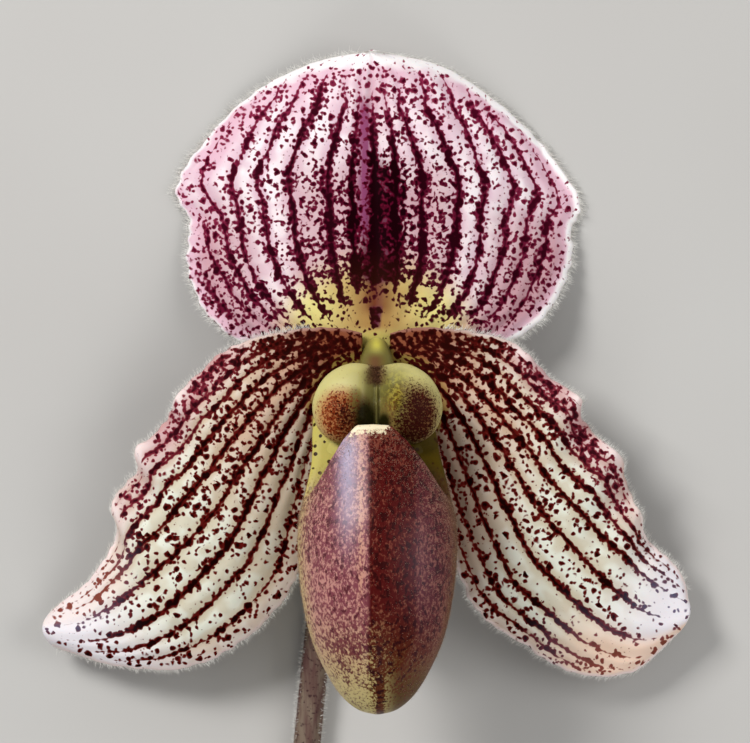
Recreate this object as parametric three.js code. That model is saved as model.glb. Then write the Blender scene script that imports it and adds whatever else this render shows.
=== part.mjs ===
// A slipper orchid flower, cut with its stem and laid on its back on a flat surface.
//
// Units are millimetres, +Z is up. The flower looks straight up; +Y runs from its heart to the tip of
// the dorsal sepal, and the cut stem lies along -Y. The flower is drawn in its own frame, whose origin
// is its heart, where the sepals, petals, lip and column meet, and is then lifted onto the surface.
//
// Whorls, from the back to the front: ovary, sepals, petals, lip (the pouch), column with its shield.
import * as THREE from "three";

// ---------------------------------------------------------------- driving dimensions
const HEART = new THREE.Vector3(1.08, 18.99, 13); // heart of the flower, above the surface it lies on
const BLADE = 0.9; // thickness of sepals and petals
const POUCH_WALL = 0.9;
const SEAT = 0.3; // gap between pieces that grow out of one another

const SEPAL_FACE = -1.4; // front face of both sepals at the heart
const PETAL_FACE = -0.2; // front face of the petals at the heart
const OVARY_FACE = SEPAL_FACE - BLADE - 1.3 * SEAT;

const STEM_RADIUS = 1.7;
const STEM_TOP = { x: -6.95, y: -33.5 }; // where the ovary's stalk leaves the stem
const STEM_END = { x: -11.1, y: -75 }; // the cut
const STEM_SIDES = 14;
const STEM_REST = -HEART.z + STEM_RADIUS; // z of the stem's axis where it lies on the surface
const STEM_LIFT = 1.3; // how much higher its top end lies

// ---------------------------------------------------------------- small tools
const spline = (points) =>
  new THREE.SplineCurve(points.map(([x, y]) => new THREE.Vector2(x, y)));
const path3 = (points) =>
  new THREE.CatmullRomCurve3(points.map((p) => new THREE.Vector3(...p)));
const clamp01 = (x) => Math.min(1, Math.max(0, x));
const smooth = (from, to, x) => {
  const t = clamp01((x - from) / (to - from));
  return t * t * (3 - 2 * t);
};
const bell = (x, width) => Math.exp(-((x / width) ** 2));
const degrees = (a) => (a * Math.PI) / 180;

// Indexed triangles as a geometry whose faces point outwards.
function closedGeometry(points, triangles) {
  let volume = 0;
  for (const [a, b, c] of triangles)
    volume += points[a].dot(points[b].clone().cross(points[c]));
  const index = volume < 0 ? triangles.map(([a, b, c]) => [a, c, b]) : triangles;
  const geometry = new THREE.BufferGeometry().setFromPoints(points);
  geometry.setIndex(index.flat());
  geometry.computeVertexNormals();
  return geometry;
}

// The two triangles of a quad of corner indices.
const quad = (a, b, c, d) => [
  [a, b, c],
  [a, c, d],
];

// Two matching grids of points, face[i][j] and back[i][j], joined along their borders into a closed shell
// that is split into triangles alike on both faces.
function shellGeometry(face, back) {
  const rows = face.length;
  const columns = face[0].length;
  const points = [...face.flat(), ...back.flat()];
  const at = (i, j) => i * columns + j;
  const under = (i, j) => rows * columns + at(i, j);
  const triangles = [];
  for (let i = 0; i + 1 < rows; i++)
    for (let j = 0; j + 1 < columns; j++) {
      const split = quad(at(i, j), at(i + 1, j), at(i + 1, j + 1), at(i, j + 1));
      triangles.push(...split);
      triangles.push(...split.map(([a, b, c]) => [a, c, b].map((n) => n + rows * columns)));
    }
  const border = [];
  for (let i = 0; i + 1 < rows; i++) border.push([i, 0]);
  for (let j = 0; j + 1 < columns; j++) border.push([rows - 1, j]);
  for (let i = rows - 1; i > 0; i--) border.push([i, columns - 1]);
  for (let j = columns - 1; j > 0; j--) border.push([0, j]);
  border.forEach(([i, j], k) => {
    const [m, n] = border[(k + 1) % border.length];
    triangles.push(...quad(at(m, n), at(i, j), under(i, j), under(m, n)));
  });
  return closedGeometry(points, triangles);
}

// Rings of points joined into one skin, closed at both ends by a fan round each end ring's centre.
function ringsGeometry(rings) {
  const sides = rings[0].length;
  const points = rings.flat();
  const triangles = [];
  for (let k = 0; k + 1 < rings.length; k++)
    for (let i = 0; i < sides; i++) {
      const next = (i + 1) % sides;
      triangles.push(
        ...quad(k * sides + i, k * sides + next, (k + 1) * sides + next, (k + 1) * sides + i),
      );
    }
  for (const [k, turned] of [
    [0, true],
    [rings.length - 1, false],
  ]) {
    const middle = rings[k]
      .reduce((sum, p) => sum.add(p), new THREE.Vector3())
      .divideScalar(sides);
    points.push(middle);
    for (let i = 0; i < sides; i++) {
      const [a, b] = [k * sides + i, k * sides + ((i + 1) % sides)];
      triangles.push(turned ? [points.length - 1, b, a] : [points.length - 1, a, b]);
    }
  }
  return closedGeometry(points, triangles);
}

// ---------------------------------------------------------------- sepals and petals
// A blade lies between two margins that run from base to tip along its midrib. u goes across it from
// -1 to 1 and v along it from 0 to 1; lines of constant u are its veins.
function bladePoint({ low, high, midrib, depth }, u, v) {
  const a = low.getPoint(v);
  const b = high.getPoint(v);
  const m = midrib.getPoint(v);
  const middle = a.clone().add(b).multiplyScalar(0.5);
  const half = b.clone().sub(a).multiplyScalar(0.5);
  const point = m
    .clone()
    .add(half.clone().multiplyScalar(u))
    .add(middle.sub(m).multiplyScalar(u * u));
  return new THREE.Vector3(point.x, point.y, depth(u, v, point.x, point.y));
}

// The veins that carry the points lie closer together towards the margins.
const veinAt = (share) => {
  const s = 2 * share - 1;
  return s * (1.3 - 0.3 * s * s);
};

function bladeGeometry(blade) {
  const face = [];
  for (let i = 0; i <= blade.across; i++) {
    const row = [];
    for (let j = 0; j <= blade.along; j++)
      row.push(bladePoint(blade, veinAt(i / blade.across), j / blade.along));
    face.push(row);
  }
  return shellGeometry(face, face.map((row) => row.map((p) => p.clone().setZ(p.z - BLADE))));
}

// The dorsal sepal leans back, and its shoulders curl down until they lie flat on the surface.
const DORSAL = {
  lean: 5.2, // how far its tip lies behind its base
  curl: 8.6, // how far the shoulders curl back
  curlPower: 2.3, // above 1 the curl stays near the margins
  fold: 0.5, // depth of the crease along the midrib
  foldWidth: 0.06, // its width in u
  ruffle: 0.45, // height of the ruffles along the margins
  ruffles: 4,
  rufflePhase: 0.2,
};
const dorsalDepth = (u, v) =>
  SEPAL_FACE -
  DORSAL.lean * smooth(0.02, 1.1, v) -
  DORSAL.curl * Math.abs(u) ** DORSAL.curlPower * Math.sin(Math.PI * v ** 1.2) ** 0.9 -
  DORSAL.fold * bell(u, DORSAL.foldWidth) * smooth(0.1, 0.3, v) * (1 - smooth(0.8, 1, v)) +
  DORSAL.ruffle *
    u ** 4 *
    smooth(0.05, 0.3, v) *
    Math.sin(2 * Math.PI * (DORSAL.ruffles * v + DORSAL.rufflePhase));
const dorsal = {
  across: 18,
  along: 20,
  low: spline([
    [-1.6, -0.6],
    [-9.4, -1.0],
    [-16.9, 0.4],
    [-21.7, 4.6],
    [-23.8, 10.4],
    [-23.5, 15.6],
    [-25.2, 20.0],
    [-21.3, 26.2],
    [-15.4, 31.9],
    [-8.1, 35.6],
    [-1.0, 37.0],
  ]),
  high: spline([
    [1.9, -0.6],
    [10.0, -1.0],
    [17.4, 0.6],
    [22.2, 4.6],
    [24.9, 10.6],
    [24.9, 14.6],
    [26.0, 18.2],
    [22.0, 24.4],
    [16.4, 30.0],
    [8.8, 35.1],
    [0.4, 37.0],
  ]),
  midrib: spline([
    [0.1, -0.6],
    [0, 1.5],
    [-0.1, 4.7],
    [-0.2, 8.7],
    [-0.3, 13.0],
    [-0.4, 17.3],
    [-0.4, 21.7],
    [-0.4, 26.1],
    [-0.4, 30.4],
    [-0.4, 34.2],
    [-0.3, 37.2],
  ]),
  depth: (u, v) => Math.max(dorsalDepth(u, v), BLADE - HEART.z),
};

// The two lower sepals are grown together into one, which stands behind the pouch.
const SYNSEPAL = {
  lean: 3.4, // how far its tip lies behind its base
  cup: 1.5, // how far its margins stand forward near the tip
};
const synsepal = {
  across: 10,
  along: 14,
  low: spline([
    [1.7, -1.3],
    [4.9, -6.0],
    [6.9, -12.0],
    [7.5, -18.5],
    [6.9, -25.0],
    [4.8, -31.0],
    [1.0, -35.8],
  ]),
  high: spline([
    [-1.5, -1.3],
    [-4.5, -6.0],
    [-6.5, -12.0],
    [-7.1, -18.5],
    [-6.5, -25.0],
    [-4.4, -31.0],
    [-0.6, -35.8],
  ]),
  midrib: spline([
    [0.1, -1.3],
    [0.2, -6.4],
    [0.2, -12.6],
    [0.2, -19.2],
    [0.2, -25.9],
    [0.2, -31.9],
    [0.2, -36.2],
  ]),
  depth: (u, v) => SEPAL_FACE - SYNSEPAL.lean * smooth(-0.1, 1.1, v) + SYNSEPAL.cup * u * u * v,
};

// Each petal spreads level, then droops outwards. Its outer margin is ruffled.
const PETAL = {
  rise: 1.3, // how far it arches forward before it droops
  droop: 7.6, // how far its tip falls behind its base
  arch: 1.9, // how far its margins fall behind its midrib
  wave: 1.35, // height of the ruffles on the outer margin
  wavePower: 2.5, // above 1 the ruffles stay near the margin
  period: 0.15, // length of one ruffle in v
  crestLeft: 0.4, // v of a ruffle's top
  crestRight: 0.435,
};
const petalWindow = (v) => smooth(0.24, 0.42, v) * (1 - smooth(0.76, 0.92, v));
// `outer` is the u of the petal's outer margin, and `crest` the v where a ruffle bulges most.
const petalDepth = (outer, crest) => (u, v) =>
  PETAL_FACE +
  PETAL.rise * Math.sin(Math.PI * clamp01(v / 0.75)) -
  PETAL.droop * smooth(0.35, 1.15, v) -
  PETAL.arch * u * u * smooth(0.03, 0.35, v) +
  PETAL.wave *
    Math.max(0, outer * u) ** PETAL.wavePower *
    petalWindow(v) *
    Math.cos((2 * Math.PI * (v - crest)) / PETAL.period);

const petalLeft = {
  across: 16,
  along: 28,
  high: spline([
    [-1.6, 1.5],
    [-4.2, 2.1],
    [-7.0, 2.2],
    [-10.2, 1.9],
    [-13.4, 1.3],
    [-16.5, 0.4],
    [-19.4, -1.1],
    [-21.9, -3.3],
    [-24.9, -6.5],
    [-25.7, -8.6],
    [-27.3, -10.8],
    [-30.0, -13.0],
    [-29.9, -15.7],
    [-31.9, -18.0],
    [-33.2, -20.3],
    [-32.5, -22.9],
    [-33.3, -25.6],
    [-34.9, -28.1],
    [-37.2, -30.7],
    [-39.6, -32.4],
    [-41.2, -33.9],
  ]),
  low: spline([
    [-1.3, -1.7],
    [-3.3, -4.7],
    [-5.2, -8.9],
    [-6.7, -14.3],
    [-8.2, -21.0],
    [-9.7, -28.7],
    [-13.3, -34.2],
    [-18.8, -38.6],
    [-25.0, -40.8],
    [-33.2, -40.3],
    [-40.6, -38.0],
  ]),
  midrib: spline([
    [-1.5, -0.1],
    [-5.4, -1.4],
    [-9.7, -4.2],
    [-13.6, -8.4],
    [-17.0, -14.0],
    [-19.7, -20.2],
    [-22.9, -25.3],
    [-26.7, -29.9],
    [-30.8, -33.6],
    [-36.2, -35.9],
    [-41.9, -35.9],
  ]),
  depth: petalDepth(1, PETAL.crestLeft),
};

const petalRight = {
  across: 16,
  along: 28,
  low: spline([
    [1.9, 1.5],
    [4.5, 2.1],
    [7.4, 2.2],
    [10.5, 1.9],
    [13.5, 1.4],
    [16.6, 0.6],
    [19.0, -0.9],
    [21.3, -3.5],
    [24.2, -5.5],
    [25.9, -6.9],
    [25.9, -9.1],
    [28.1, -11.6],
    [30.9, -14.0],
    [31.4, -16.4],
    [32.3, -19.1],
    [33.6, -21.4],
    [33.9, -23.6],
    [35.7, -25.8],
    [37.8, -27.6],
    [39.1, -29.9],
    [39.5, -32.0],
  ]),
  high: spline([
    [1.6, -1.7],
    [3.7, -4.7],
    [5.7, -8.9],
    [7.3, -14.3],
    [8.8, -21.0],
    [10.4, -28.4],
    [13.2, -33.8],
    [18.6, -37.6],
    [24.8, -41.2],
    [32.2, -41.3],
    [38.0, -36.6],
  ]),
  midrib: spline([
    [1.8, -0.1],
    [5.8, -1.4],
    [9.9, -4.0],
    [13.7, -7.9],
    [16.9, -12.9],
    [19.5, -18.8],
    [22.3, -24.3],
    [25.9, -29.0],
    [30.2, -33.0],
    [35.0, -35.0],
    [39.6, -34.2],
  ]),
  depth: petalDepth(-1, PETAL.crestRight),
};

// ---------------------------------------------------------------- lip
// Level rings stacked from the toe up. Each has a half width in x, and reaches from back to front in z.
const POUCH_X = 0.3;
const POUCH_POINTED = 1.75; // below 2 the front of each ring comes to a soft keel
const POUCH_STATIONS = [
  // y, half width, front, back
  [-45.9, 0, 7.6, 7.6],
  [-45.2, 2.5, 10.2, 5.4],
  [-43.1, 4.8, 12.8, 3.9],
  [-39.5, 6.9, 15.6, 3.0],
  [-35.7, 8.4, 17.4, 2.5],
  [-31.1, 9.35, 18.6, 2.2],
  [-26.6, 9.8, 19.0, 2.0],
  [-22.0, 9.75, 18.6, 1.8],
  [-18.0, 8.85, 17.4, 1.7],
  [-14.0, 8.05, 15.9, 1.6],
  [-10.0, 7.8, 14.2, 1.5],
  [-6.2, 6.9, 12.4, 1.2],
  [-3.6, 3.8, 9.6, 0.4],
];
// The mouth's rim: angle round the pouch from its front, and the station that the wall rises to there.
const POUCH_RIM = [
  [0, 9.98],
  [16, 9.95],
  [30, 9.5],
  [45, 8.9],
  [60, 8.15],
  [75, 7.65],
  [88, 7.7],
  [97, 8.7],
  [106, 10.3],
  [122, 11.3],
  [150, 11.85],
  [180, 12],
];
const POUCH_SIDES = 36;
const POUCH_STEPS = 15;
const pouchShape = spline(POUCH_STATIONS.map(([y, half]) => [y, half]));
const pouchReach = spline(POUCH_STATIONS.map(([, , front, back]) => [front, back]));

// The rim table, read in a straight line between its rows.
function pouchRim(angle) {
  const a = Math.abs(angle);
  const k = Math.max(1, POUCH_RIM.findIndex(([at]) => at >= a - 1e-9));
  const [[a0, s0], [a1, s1]] = [POUCH_RIM[k - 1], POUCH_RIM[k]];
  return s0 + ((s1 - s0) * (a - a0)) / (a1 - a0);
}

function pouchPoint(angle, share) {
  const along = (pouchRim(angle) * Math.sin((share * Math.PI) / 2)) / (POUCH_STATIONS.length - 1);
  const { x: y, y: half } = pouchShape.getPoint(along);
  const { x: front, y: back } = pouchReach.getPoint(along);
  const side = Math.sin(degrees(angle));
  const power = Math.abs(angle) < 90 ? POUCH_POINTED : 2;
  const reach = (1 - Math.abs(side) ** power) ** (1 / power) * (Math.abs(angle) < 90 ? 1 : -1);
  return new THREE.Vector3(
    POUCH_X + half * side,
    y,
    (front + back) / 2 + ((front - back) / 2) * reach,
  );
}

// The pouch point moved inwards through the wall. POUCH_CORE is the z of a line that runs inside the pouch.
const POUCH_CORE = 8;
function pouchInside(angle, share) {
  if (share === 0) return pouchPoint(0, 0).add(new THREE.Vector3(0, POUCH_WALL, 0));
  const step = 1e-2;
  const across = pouchPoint(angle + step, share).sub(pouchPoint(angle - step, share));
  const up = pouchPoint(angle, Math.min(1, share + step)).sub(pouchPoint(angle, share - step));
  const outwards = up.cross(across).normalize();
  const point = pouchPoint(angle, share);
  const centre = new THREE.Vector3(POUCH_X, point.y, POUCH_CORE);
  if (outwards.dot(point.clone().sub(centre)) < 0) outwards.negate();
  return point.addScaledVector(outwards, -POUCH_WALL);
}

function pouchGeometry() {
  const skin = (pointAt) => {
    const points = [];
    for (let k = 1; k <= POUCH_STEPS; k++)
      for (let i = 0; i < POUCH_SIDES; i++)
        points.push(pointAt(-180 + (360 * (i + 0.5)) / POUCH_SIDES, k / POUCH_STEPS));
    return points;
  };
  const points = [pouchPoint(0, 0), pouchInside(0, 0), ...skin(pouchPoint), ...skin(pouchInside)];
  const out = (k, i) => 2 + k * POUCH_SIDES + (i % POUCH_SIDES);
  const within = (k, i) => out(k, i) + POUCH_STEPS * POUCH_SIDES;
  const top = POUCH_STEPS - 1;
  const triangles = [];
  for (let i = 0; i < POUCH_SIDES; i++) {
    triangles.push([0, out(0, i), out(0, i + 1)], [1, within(0, i + 1), within(0, i)]);
    for (let k = 0; k < top; k++) {
      triangles.push(...quad(out(k, i), out(k + 1, i), out(k + 1, i + 1), out(k, i + 1)));
      triangles.push(
        ...quad(within(k, i), within(k, i + 1), within(k + 1, i + 1), within(k + 1, i)),
      );
    }
    triangles.push(...quad(out(top, i), within(top, i), within(top, i + 1), out(top, i + 1)));
  }
  return closedGeometry(points, triangles);
}

// ---------------------------------------------------------------- column
const COLUMN_X = 0.2;
const COLUMN_SIDES = 20;
// y and z of the column's axis, and its radius there.
const COLUMN_STATIONS = [
  [-0.3, SEPAL_FACE + SEAT, 1.15],
  [-0.35, PETAL_FACE + SEAT, 1.2],
  [-0.55, 0.7, 1.5],
  [-0.85, 2.0, 1.6],
  [-1.8, 4.4, 1.95],
  [-3.1, 6.6, 2.1],
  [-4.2, 7.9, 1.7],
];
function columnGeometry() {
  const rings = COLUMN_STATIONS.map(([y, z, radius]) =>
    Array.from({ length: COLUMN_SIDES }, (_, i) => {
      const a = (2 * Math.PI * i) / COLUMN_SIDES;
      return new THREE.Vector3(COLUMN_X + radius * Math.cos(a), y + radius * Math.sin(a), z);
    }),
  );
  return ringsGeometry(rings);
}

// The shield in front of the column: a kidney of two domed lobes with a groove between them.
const SHIELD = { x: 0.3, y: -7.0, back: 8.2, edge: 9.1, dome: 3.3, groove: 0.72, grooveWidth: 1.2 };
const shieldOutline = new THREE.SplineCurve(
  [
    [0, 4.3],
    [-3.4, 4.7],
    [-6.5, 3.0],
    [-8.05, -0.3],
    [-7.2, -3.6],
    [-4.6, -5.3],
    [-2.0, -4.6],
    [0, -3.4],
    [2.0, -4.6],
    [4.6, -5.3],
    [7.2, -3.6],
    [8.05, -0.3],
    [6.5, 3.0],
    [3.4, 4.7],
    [0, 4.3],
  ].map(([x, y]) => new THREE.Vector2(x, y)),
);
const SHIELD_SIDES = 42;
const SHIELD_RINGS = 7;
function shieldGeometry() {
  const front = [];
  const back = [];
  for (let k = 1; k <= SHIELD_RINGS; k++)
    for (let i = 0; i < SHIELD_SIDES; i++) {
      const out = Math.sin((k / SHIELD_RINGS) * (Math.PI / 2));
      const { x, y } = shieldOutline.getPoint(i / SHIELD_SIDES).multiplyScalar(out);
      const hollow = 1 - SHIELD.groove * bell(x, SHIELD.grooveWidth);
      const lift = SHIELD.dome * Math.sqrt(Math.max(0, 1 - out * out)) * hollow;
      front.push(new THREE.Vector3(SHIELD.x + x, SHIELD.y + y, SHIELD.edge + lift));
      back.push(new THREE.Vector3(SHIELD.x + x, SHIELD.y + y, SHIELD.back));
    }
  const hub = SHIELD.edge + SHIELD.dome * (1 - SHIELD.groove);
  const points = [
    new THREE.Vector3(SHIELD.x, SHIELD.y, hub),
    new THREE.Vector3(SHIELD.x, SHIELD.y, SHIELD.back),
    ...front,
    ...back,
  ];
  const at = (k, i) => 2 + k * SHIELD_SIDES + (i % SHIELD_SIDES);
  const under = (k, i) => at(k, i) + SHIELD_RINGS * SHIELD_SIDES;
  const triangles = [];
  for (let i = 0; i < SHIELD_SIDES; i++) {
    triangles.push([0, at(0, i), at(0, i + 1)], [1, under(0, i + 1), under(0, i)]);
    for (let k = 0; k + 1 < SHIELD_RINGS; k++) {
      triangles.push(...quad(at(k, i), at(k + 1, i), at(k + 1, i + 1), at(k, i + 1)));
      triangles.push(...quad(under(k, i), under(k, i + 1), under(k + 1, i + 1), under(k + 1, i)));
    }
    const rim = SHIELD_RINGS - 1;
    triangles.push(...quad(at(rim, i), under(rim, i), under(rim, i + 1), at(rim, i + 1)));
  }
  return closedGeometry(points, triangles);
}

// The stigma is a disc on a short stalk under the column, facing into the pouch.
const STIGMA = { y: -4.98, z: 5.0, stalk: 0.65, disc: 1.8, drop: 2.4, thick: 0.9 };
const stigmaGeometry = () =>
  new THREE.LatheGeometry(
    [
      [0, 0],
      [STIGMA.stalk, 0],
      [STIGMA.stalk, -STIGMA.drop + STIGMA.thick],
      [STIGMA.disc * 0.8, -STIGMA.drop + STIGMA.thick * 0.85],
      [STIGMA.disc, -STIGMA.drop + STIGMA.thick * 0.3],
      [STIGMA.disc * 0.75, -STIGMA.drop - 0.1],
      [0, -STIGMA.drop - 0.25],
    ]
      .reverse()
      .map(([r, y]) => new THREE.Vector2(r, y)),
    18,
  );

// One fertile anther stands on each side of the column.
const ANTHER = { aside: 3.0, y: -3.6, z: 5.4, across: 0.85, high: 1.1, deep: 1.35 };
const antherGeometry = () =>
  new THREE.SphereGeometry(1, 12, 8).scale(ANTHER.across, ANTHER.high, ANTHER.deep);

// ---------------------------------------------------------------- ovary, bract and stem
// A tube along a path, with its section's radius given by radiusAt(share of length, angle).
function tubeGeometry(path, steps, sides, radiusAt, firstAngle = 0) {
  const rings = [];
  for (let k = 0; k <= steps; k++) {
    const t = k / steps;
    const centre = path.getPoint(t);
    const ahead = path.getTangent(t);
    const across = new THREE.Vector3(1, 0, 0).addScaledVector(ahead, -ahead.x).normalize();
    const upwards = across.clone().cross(ahead).normalize();
    rings.push(
      Array.from({ length: sides }, (_, i) => {
        const a = firstAngle + (2 * Math.PI * i) / sides;
        const r = radiusAt(t, a);
        return centre
          .clone()
          .addScaledVector(across, r * Math.cos(a))
          .addScaledVector(upwards, r * Math.sin(a));
      }),
    );
  }
  return ringsGeometry(rings);
}

const OVARY = {
  radius: 2.25, // at the flower
  swell: 0.15, // a little thicker below it
  taper: 1.05, // thinner towards the stem
  ribs: 6,
  ribDepth: 0.07, // share of the radius
};
const ovaryPath = path3([
  [0.1, -0.8, OVARY_FACE],
  [0.1, -0.8, OVARY_FACE - 1.6],
  [-0.1, -2.0, -6.2],
  [-1.0, -5.6, -8.1],
  [-2.6, -11.5, -9.0],
  [-4.3, -18.5, -9.4],
  [-5.6, -25.0, -9.7],
  [-6.45, -29.5, -9.9],
  [-6.9, STEM_TOP.y + SEAT, STEM_REST + STEM_LIFT],
]);
function ovaryRadius(t, a) {
  const ribbed = OVARY.ribDepth * smooth(0.04, 0.2, t) * (1 - smooth(0.75, 1, t));
  const radius = OVARY.radius + OVARY.swell * smooth(0, 0.15, t) - OVARY.taper * smooth(0.35, 0.95, t);
  return radius * (1 + ribbed * Math.cos(OVARY.ribs * a));
}

// The stem is straight as seen from above, and its top end is held up by the flower.
class StemCurve extends THREE.Curve {
  getPoint(t, target = new THREE.Vector3()) {
    const x = THREE.MathUtils.lerp(STEM_TOP.x, STEM_END.x, t);
    const y = THREE.MathUtils.lerp(STEM_TOP.y, STEM_END.y, t);
    return target.set(x, y, STEM_REST + STEM_LIFT * (1 - smooth(0, 0.28, t)));
  }
}
const stemPath = new StemCurve();
// The stem's sides are flats, and one of them lies on the surface.
const stemCorner = STEM_RADIUS / Math.cos(Math.PI / STEM_SIDES);
const STEM_WAIST = 0.06; // how much thinner its top end is, as a share
const stemRadius = (t) => stemCorner * (1 - STEM_WAIST * (1 - smooth(0, 0.15, t)));

// The bract is a short sheath behind the foot of the ovary, open along its front.
const BRACT = {
  from: 0.63, // share of the ovary's path at the sheath's tip
  to: 0.985, // and at its foot
  wall: 0.6,
  opening: 70, // degrees of the open front, to either side
  flare: 0.35, // how far its tip stands off
};
function bractGeometry() {
  const face = [];
  const back = [];
  const arc = 14;
  const steps = 10;
  for (let i = 0; i <= arc; i++) {
    const rowOut = [];
    const rowIn = [];
    for (let k = 0; k <= steps; k++) {
      const share = k / steps; // 0 at the sheath's tip, 1 at its foot
      const t = BRACT.from + (BRACT.to - BRACT.from) * share;
      const centre = ovaryPath.getPoint(t);
      const ahead = ovaryPath.getTangent(t);
      const across = new THREE.Vector3(1, 0, 0).addScaledVector(ahead, -ahead.x).normalize();
      const upwards = across.clone().cross(ahead).normalize();
      const spread = (180 - BRACT.opening) * smooth(-0.25, 0.6, share);
      const a = degrees(90 + spread * ((2 * i) / arc - 1));
      const inner = ovaryRadius(t, 0) * 1.02 + SEAT + BRACT.flare * (1 - share);
      for (const [row, r] of [
        [rowIn, inner],
        [rowOut, inner + BRACT.wall],
      ])
        row.push(
          centre
            .clone()
            .addScaledVector(across, r * Math.cos(a))
            .addScaledVector(upwards, r * Math.sin(a)),
        );
    }
    face.push(rowOut);
    back.push(rowIn);
  }
  return shellGeometry(face, back);
}

// ---------------------------------------------------------------- assembly
const flesh = (color, roughness = 0.5) =>
  new THREE.MeshStandardMaterial({ color, roughness, metalness: 0 });
const sepalPink = flesh(0xe3c3cf, 0.6);
const petalCream = flesh(0xdccbb4, 0.6);
const pouchMaroon = flesh(0x7c3a3c, 0.4);
const columnGreen = flesh(0xc9c26a, 0.4);
const pollenYellow = flesh(0xd9b23c, 0.5);
const stigmaIvory = flesh(0xe4dfb4, 0.35);
const stemBrown = flesh(0x4a2a22, 0.7);
const bractGreen = flesh(0x6f8a4a, 0.6);

const flower = new THREE.Group();
function add(name, geometry, material, position = [0, 0, 0], rotation = [0, 0, 0]) {
  const mesh = new THREE.Mesh(geometry, material);
  mesh.name = name;
  mesh.position.set(...position);
  mesh.rotation.set(...rotation);
  flower.add(mesh);
  return mesh;
}

add("dorsal_sepal", bladeGeometry(dorsal), sepalPink);
add("synsepal", bladeGeometry(synsepal), sepalPink);
add("petal_left", bladeGeometry(petalLeft), petalCream);
add("petal_right", bladeGeometry(petalRight), petalCream);
add("pouch", pouchGeometry(), pouchMaroon);
add("column", columnGeometry(), columnGreen);
add("staminode", shieldGeometry(), columnGreen);
add("stigma", stigmaGeometry(), stigmaIvory, [COLUMN_X, STIGMA.y, STIGMA.z]);
for (const [name, side] of [
  ["anther_left", -1],
  ["anther_right", 1],
])
  add(name, antherGeometry(), pollenYellow, [COLUMN_X + side * ANTHER.aside, ANTHER.y, ANTHER.z]);
add("ovary", tubeGeometry(ovaryPath, 18, 24, ovaryRadius), stemBrown);
add("bract", bractGeometry(), bractGreen);
add(
  "stem",
  tubeGeometry(stemPath, 14, STEM_SIDES, stemRadius, Math.PI / STEM_SIDES + Math.PI / 2),
  stemBrown,
);

flower.position.copy(HEART);
const orchid = new THREE.Group();
orchid.add(flower);
export default orchid;
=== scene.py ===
"""The looks of a slipper orchid flower, cut with its stem and laid on its back, seen from straight above.

The flower is drawn in millimetres in its own frame: the origin is its heart, +Y runs to the tip of the dorsal
sepal and +Z points at the viewer. make_piece() lifts it onto the frame's flower and turns it to metres.
"""
import math

import bpy
import numpy as np
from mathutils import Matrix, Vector


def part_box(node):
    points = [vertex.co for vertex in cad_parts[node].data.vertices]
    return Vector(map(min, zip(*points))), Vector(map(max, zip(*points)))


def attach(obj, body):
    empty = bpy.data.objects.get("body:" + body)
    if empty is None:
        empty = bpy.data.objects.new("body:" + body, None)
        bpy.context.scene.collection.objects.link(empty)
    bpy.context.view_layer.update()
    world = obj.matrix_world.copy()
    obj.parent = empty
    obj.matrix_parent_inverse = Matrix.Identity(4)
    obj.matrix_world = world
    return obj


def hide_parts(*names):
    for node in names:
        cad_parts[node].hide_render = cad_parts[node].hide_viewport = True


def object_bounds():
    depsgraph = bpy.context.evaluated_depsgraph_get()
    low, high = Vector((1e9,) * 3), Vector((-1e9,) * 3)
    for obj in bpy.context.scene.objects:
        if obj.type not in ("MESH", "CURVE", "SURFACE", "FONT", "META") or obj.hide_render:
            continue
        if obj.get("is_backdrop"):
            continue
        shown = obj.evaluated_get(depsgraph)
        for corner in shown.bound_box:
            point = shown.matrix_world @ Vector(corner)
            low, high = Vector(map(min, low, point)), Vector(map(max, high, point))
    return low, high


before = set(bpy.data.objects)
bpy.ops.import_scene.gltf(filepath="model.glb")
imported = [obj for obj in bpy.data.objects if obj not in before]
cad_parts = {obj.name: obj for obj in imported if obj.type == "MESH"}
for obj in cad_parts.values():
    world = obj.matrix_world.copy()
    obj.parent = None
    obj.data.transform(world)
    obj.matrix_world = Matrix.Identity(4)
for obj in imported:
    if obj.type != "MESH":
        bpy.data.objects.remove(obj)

# ---------------------------------------------------------------- sizes
MM = 0.001
BLADE = 0.9  # thickness that the frame gives sepals and petals
FLESH = 0.72  # thickness of the real flesh in the middle of a blade
MARGIN_ROUND = 0.55  # how far in from the margin a blade starts to thin
SEPAL_FACE, PETAL_FACE = -1.4, -0.2  # z of their front faces at the heart
SEAT = 0.3  # gap between pieces that grow out of one another
POUCH_X, POUCH_TOE, POUCH_WALL = 0.3, -45.9, 0.9
SHIELD_BACK = 8.2
HAIR_CLEAR = 0.02  # how far hairs stay above the floor

cad_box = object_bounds()
pouch_low, pouch_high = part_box("pouch")
HEART = np.array([
    (pouch_low.x + pouch_high.x) / 2 / MM - POUCH_X,
    pouch_low.y / MM - POUCH_TOE,
    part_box("staminode")[0].z / MM - SHIELD_BACK,
])


# ---------------------------------------------------------------- small tools
def smooth(start, end, x):
    """0 at start, 1 at end, with soft ends."""
    t = np.clip((x - start) / (end - start), 0, 1)
    return t * t * (3 - 2 * t)


def bell(x, width):
    """1 where x is 0, falling softly to nearly 0 at twice the width on both sides."""
    return np.exp(-((x / width) ** 2))


def unit(vectors):
    return vectors / np.maximum(np.linalg.norm(vectors, axis=-1, keepdims=True), 1e-9)


def spline(points, t):
    """The point at share t of a smooth curve through evenly counted points."""
    p = np.asarray(points, float)
    last = len(p) - 1
    place = np.clip(t, 0, 1) * last
    i = np.minimum(place.astype(int), last - 1)
    w = (place - i)[..., None]
    before, here, there, after = (p[np.clip(i + k, 0, last)] for k in (-1, 0, 1, 2))
    slope, next_slope = (there - before) / 2, (after - here) / 2
    bend = 3 * (there - here) - 2 * slope - next_slope
    return here + w * (slope + w * (bend + w * (slope + next_slope - 2 * (there - here))))


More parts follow.
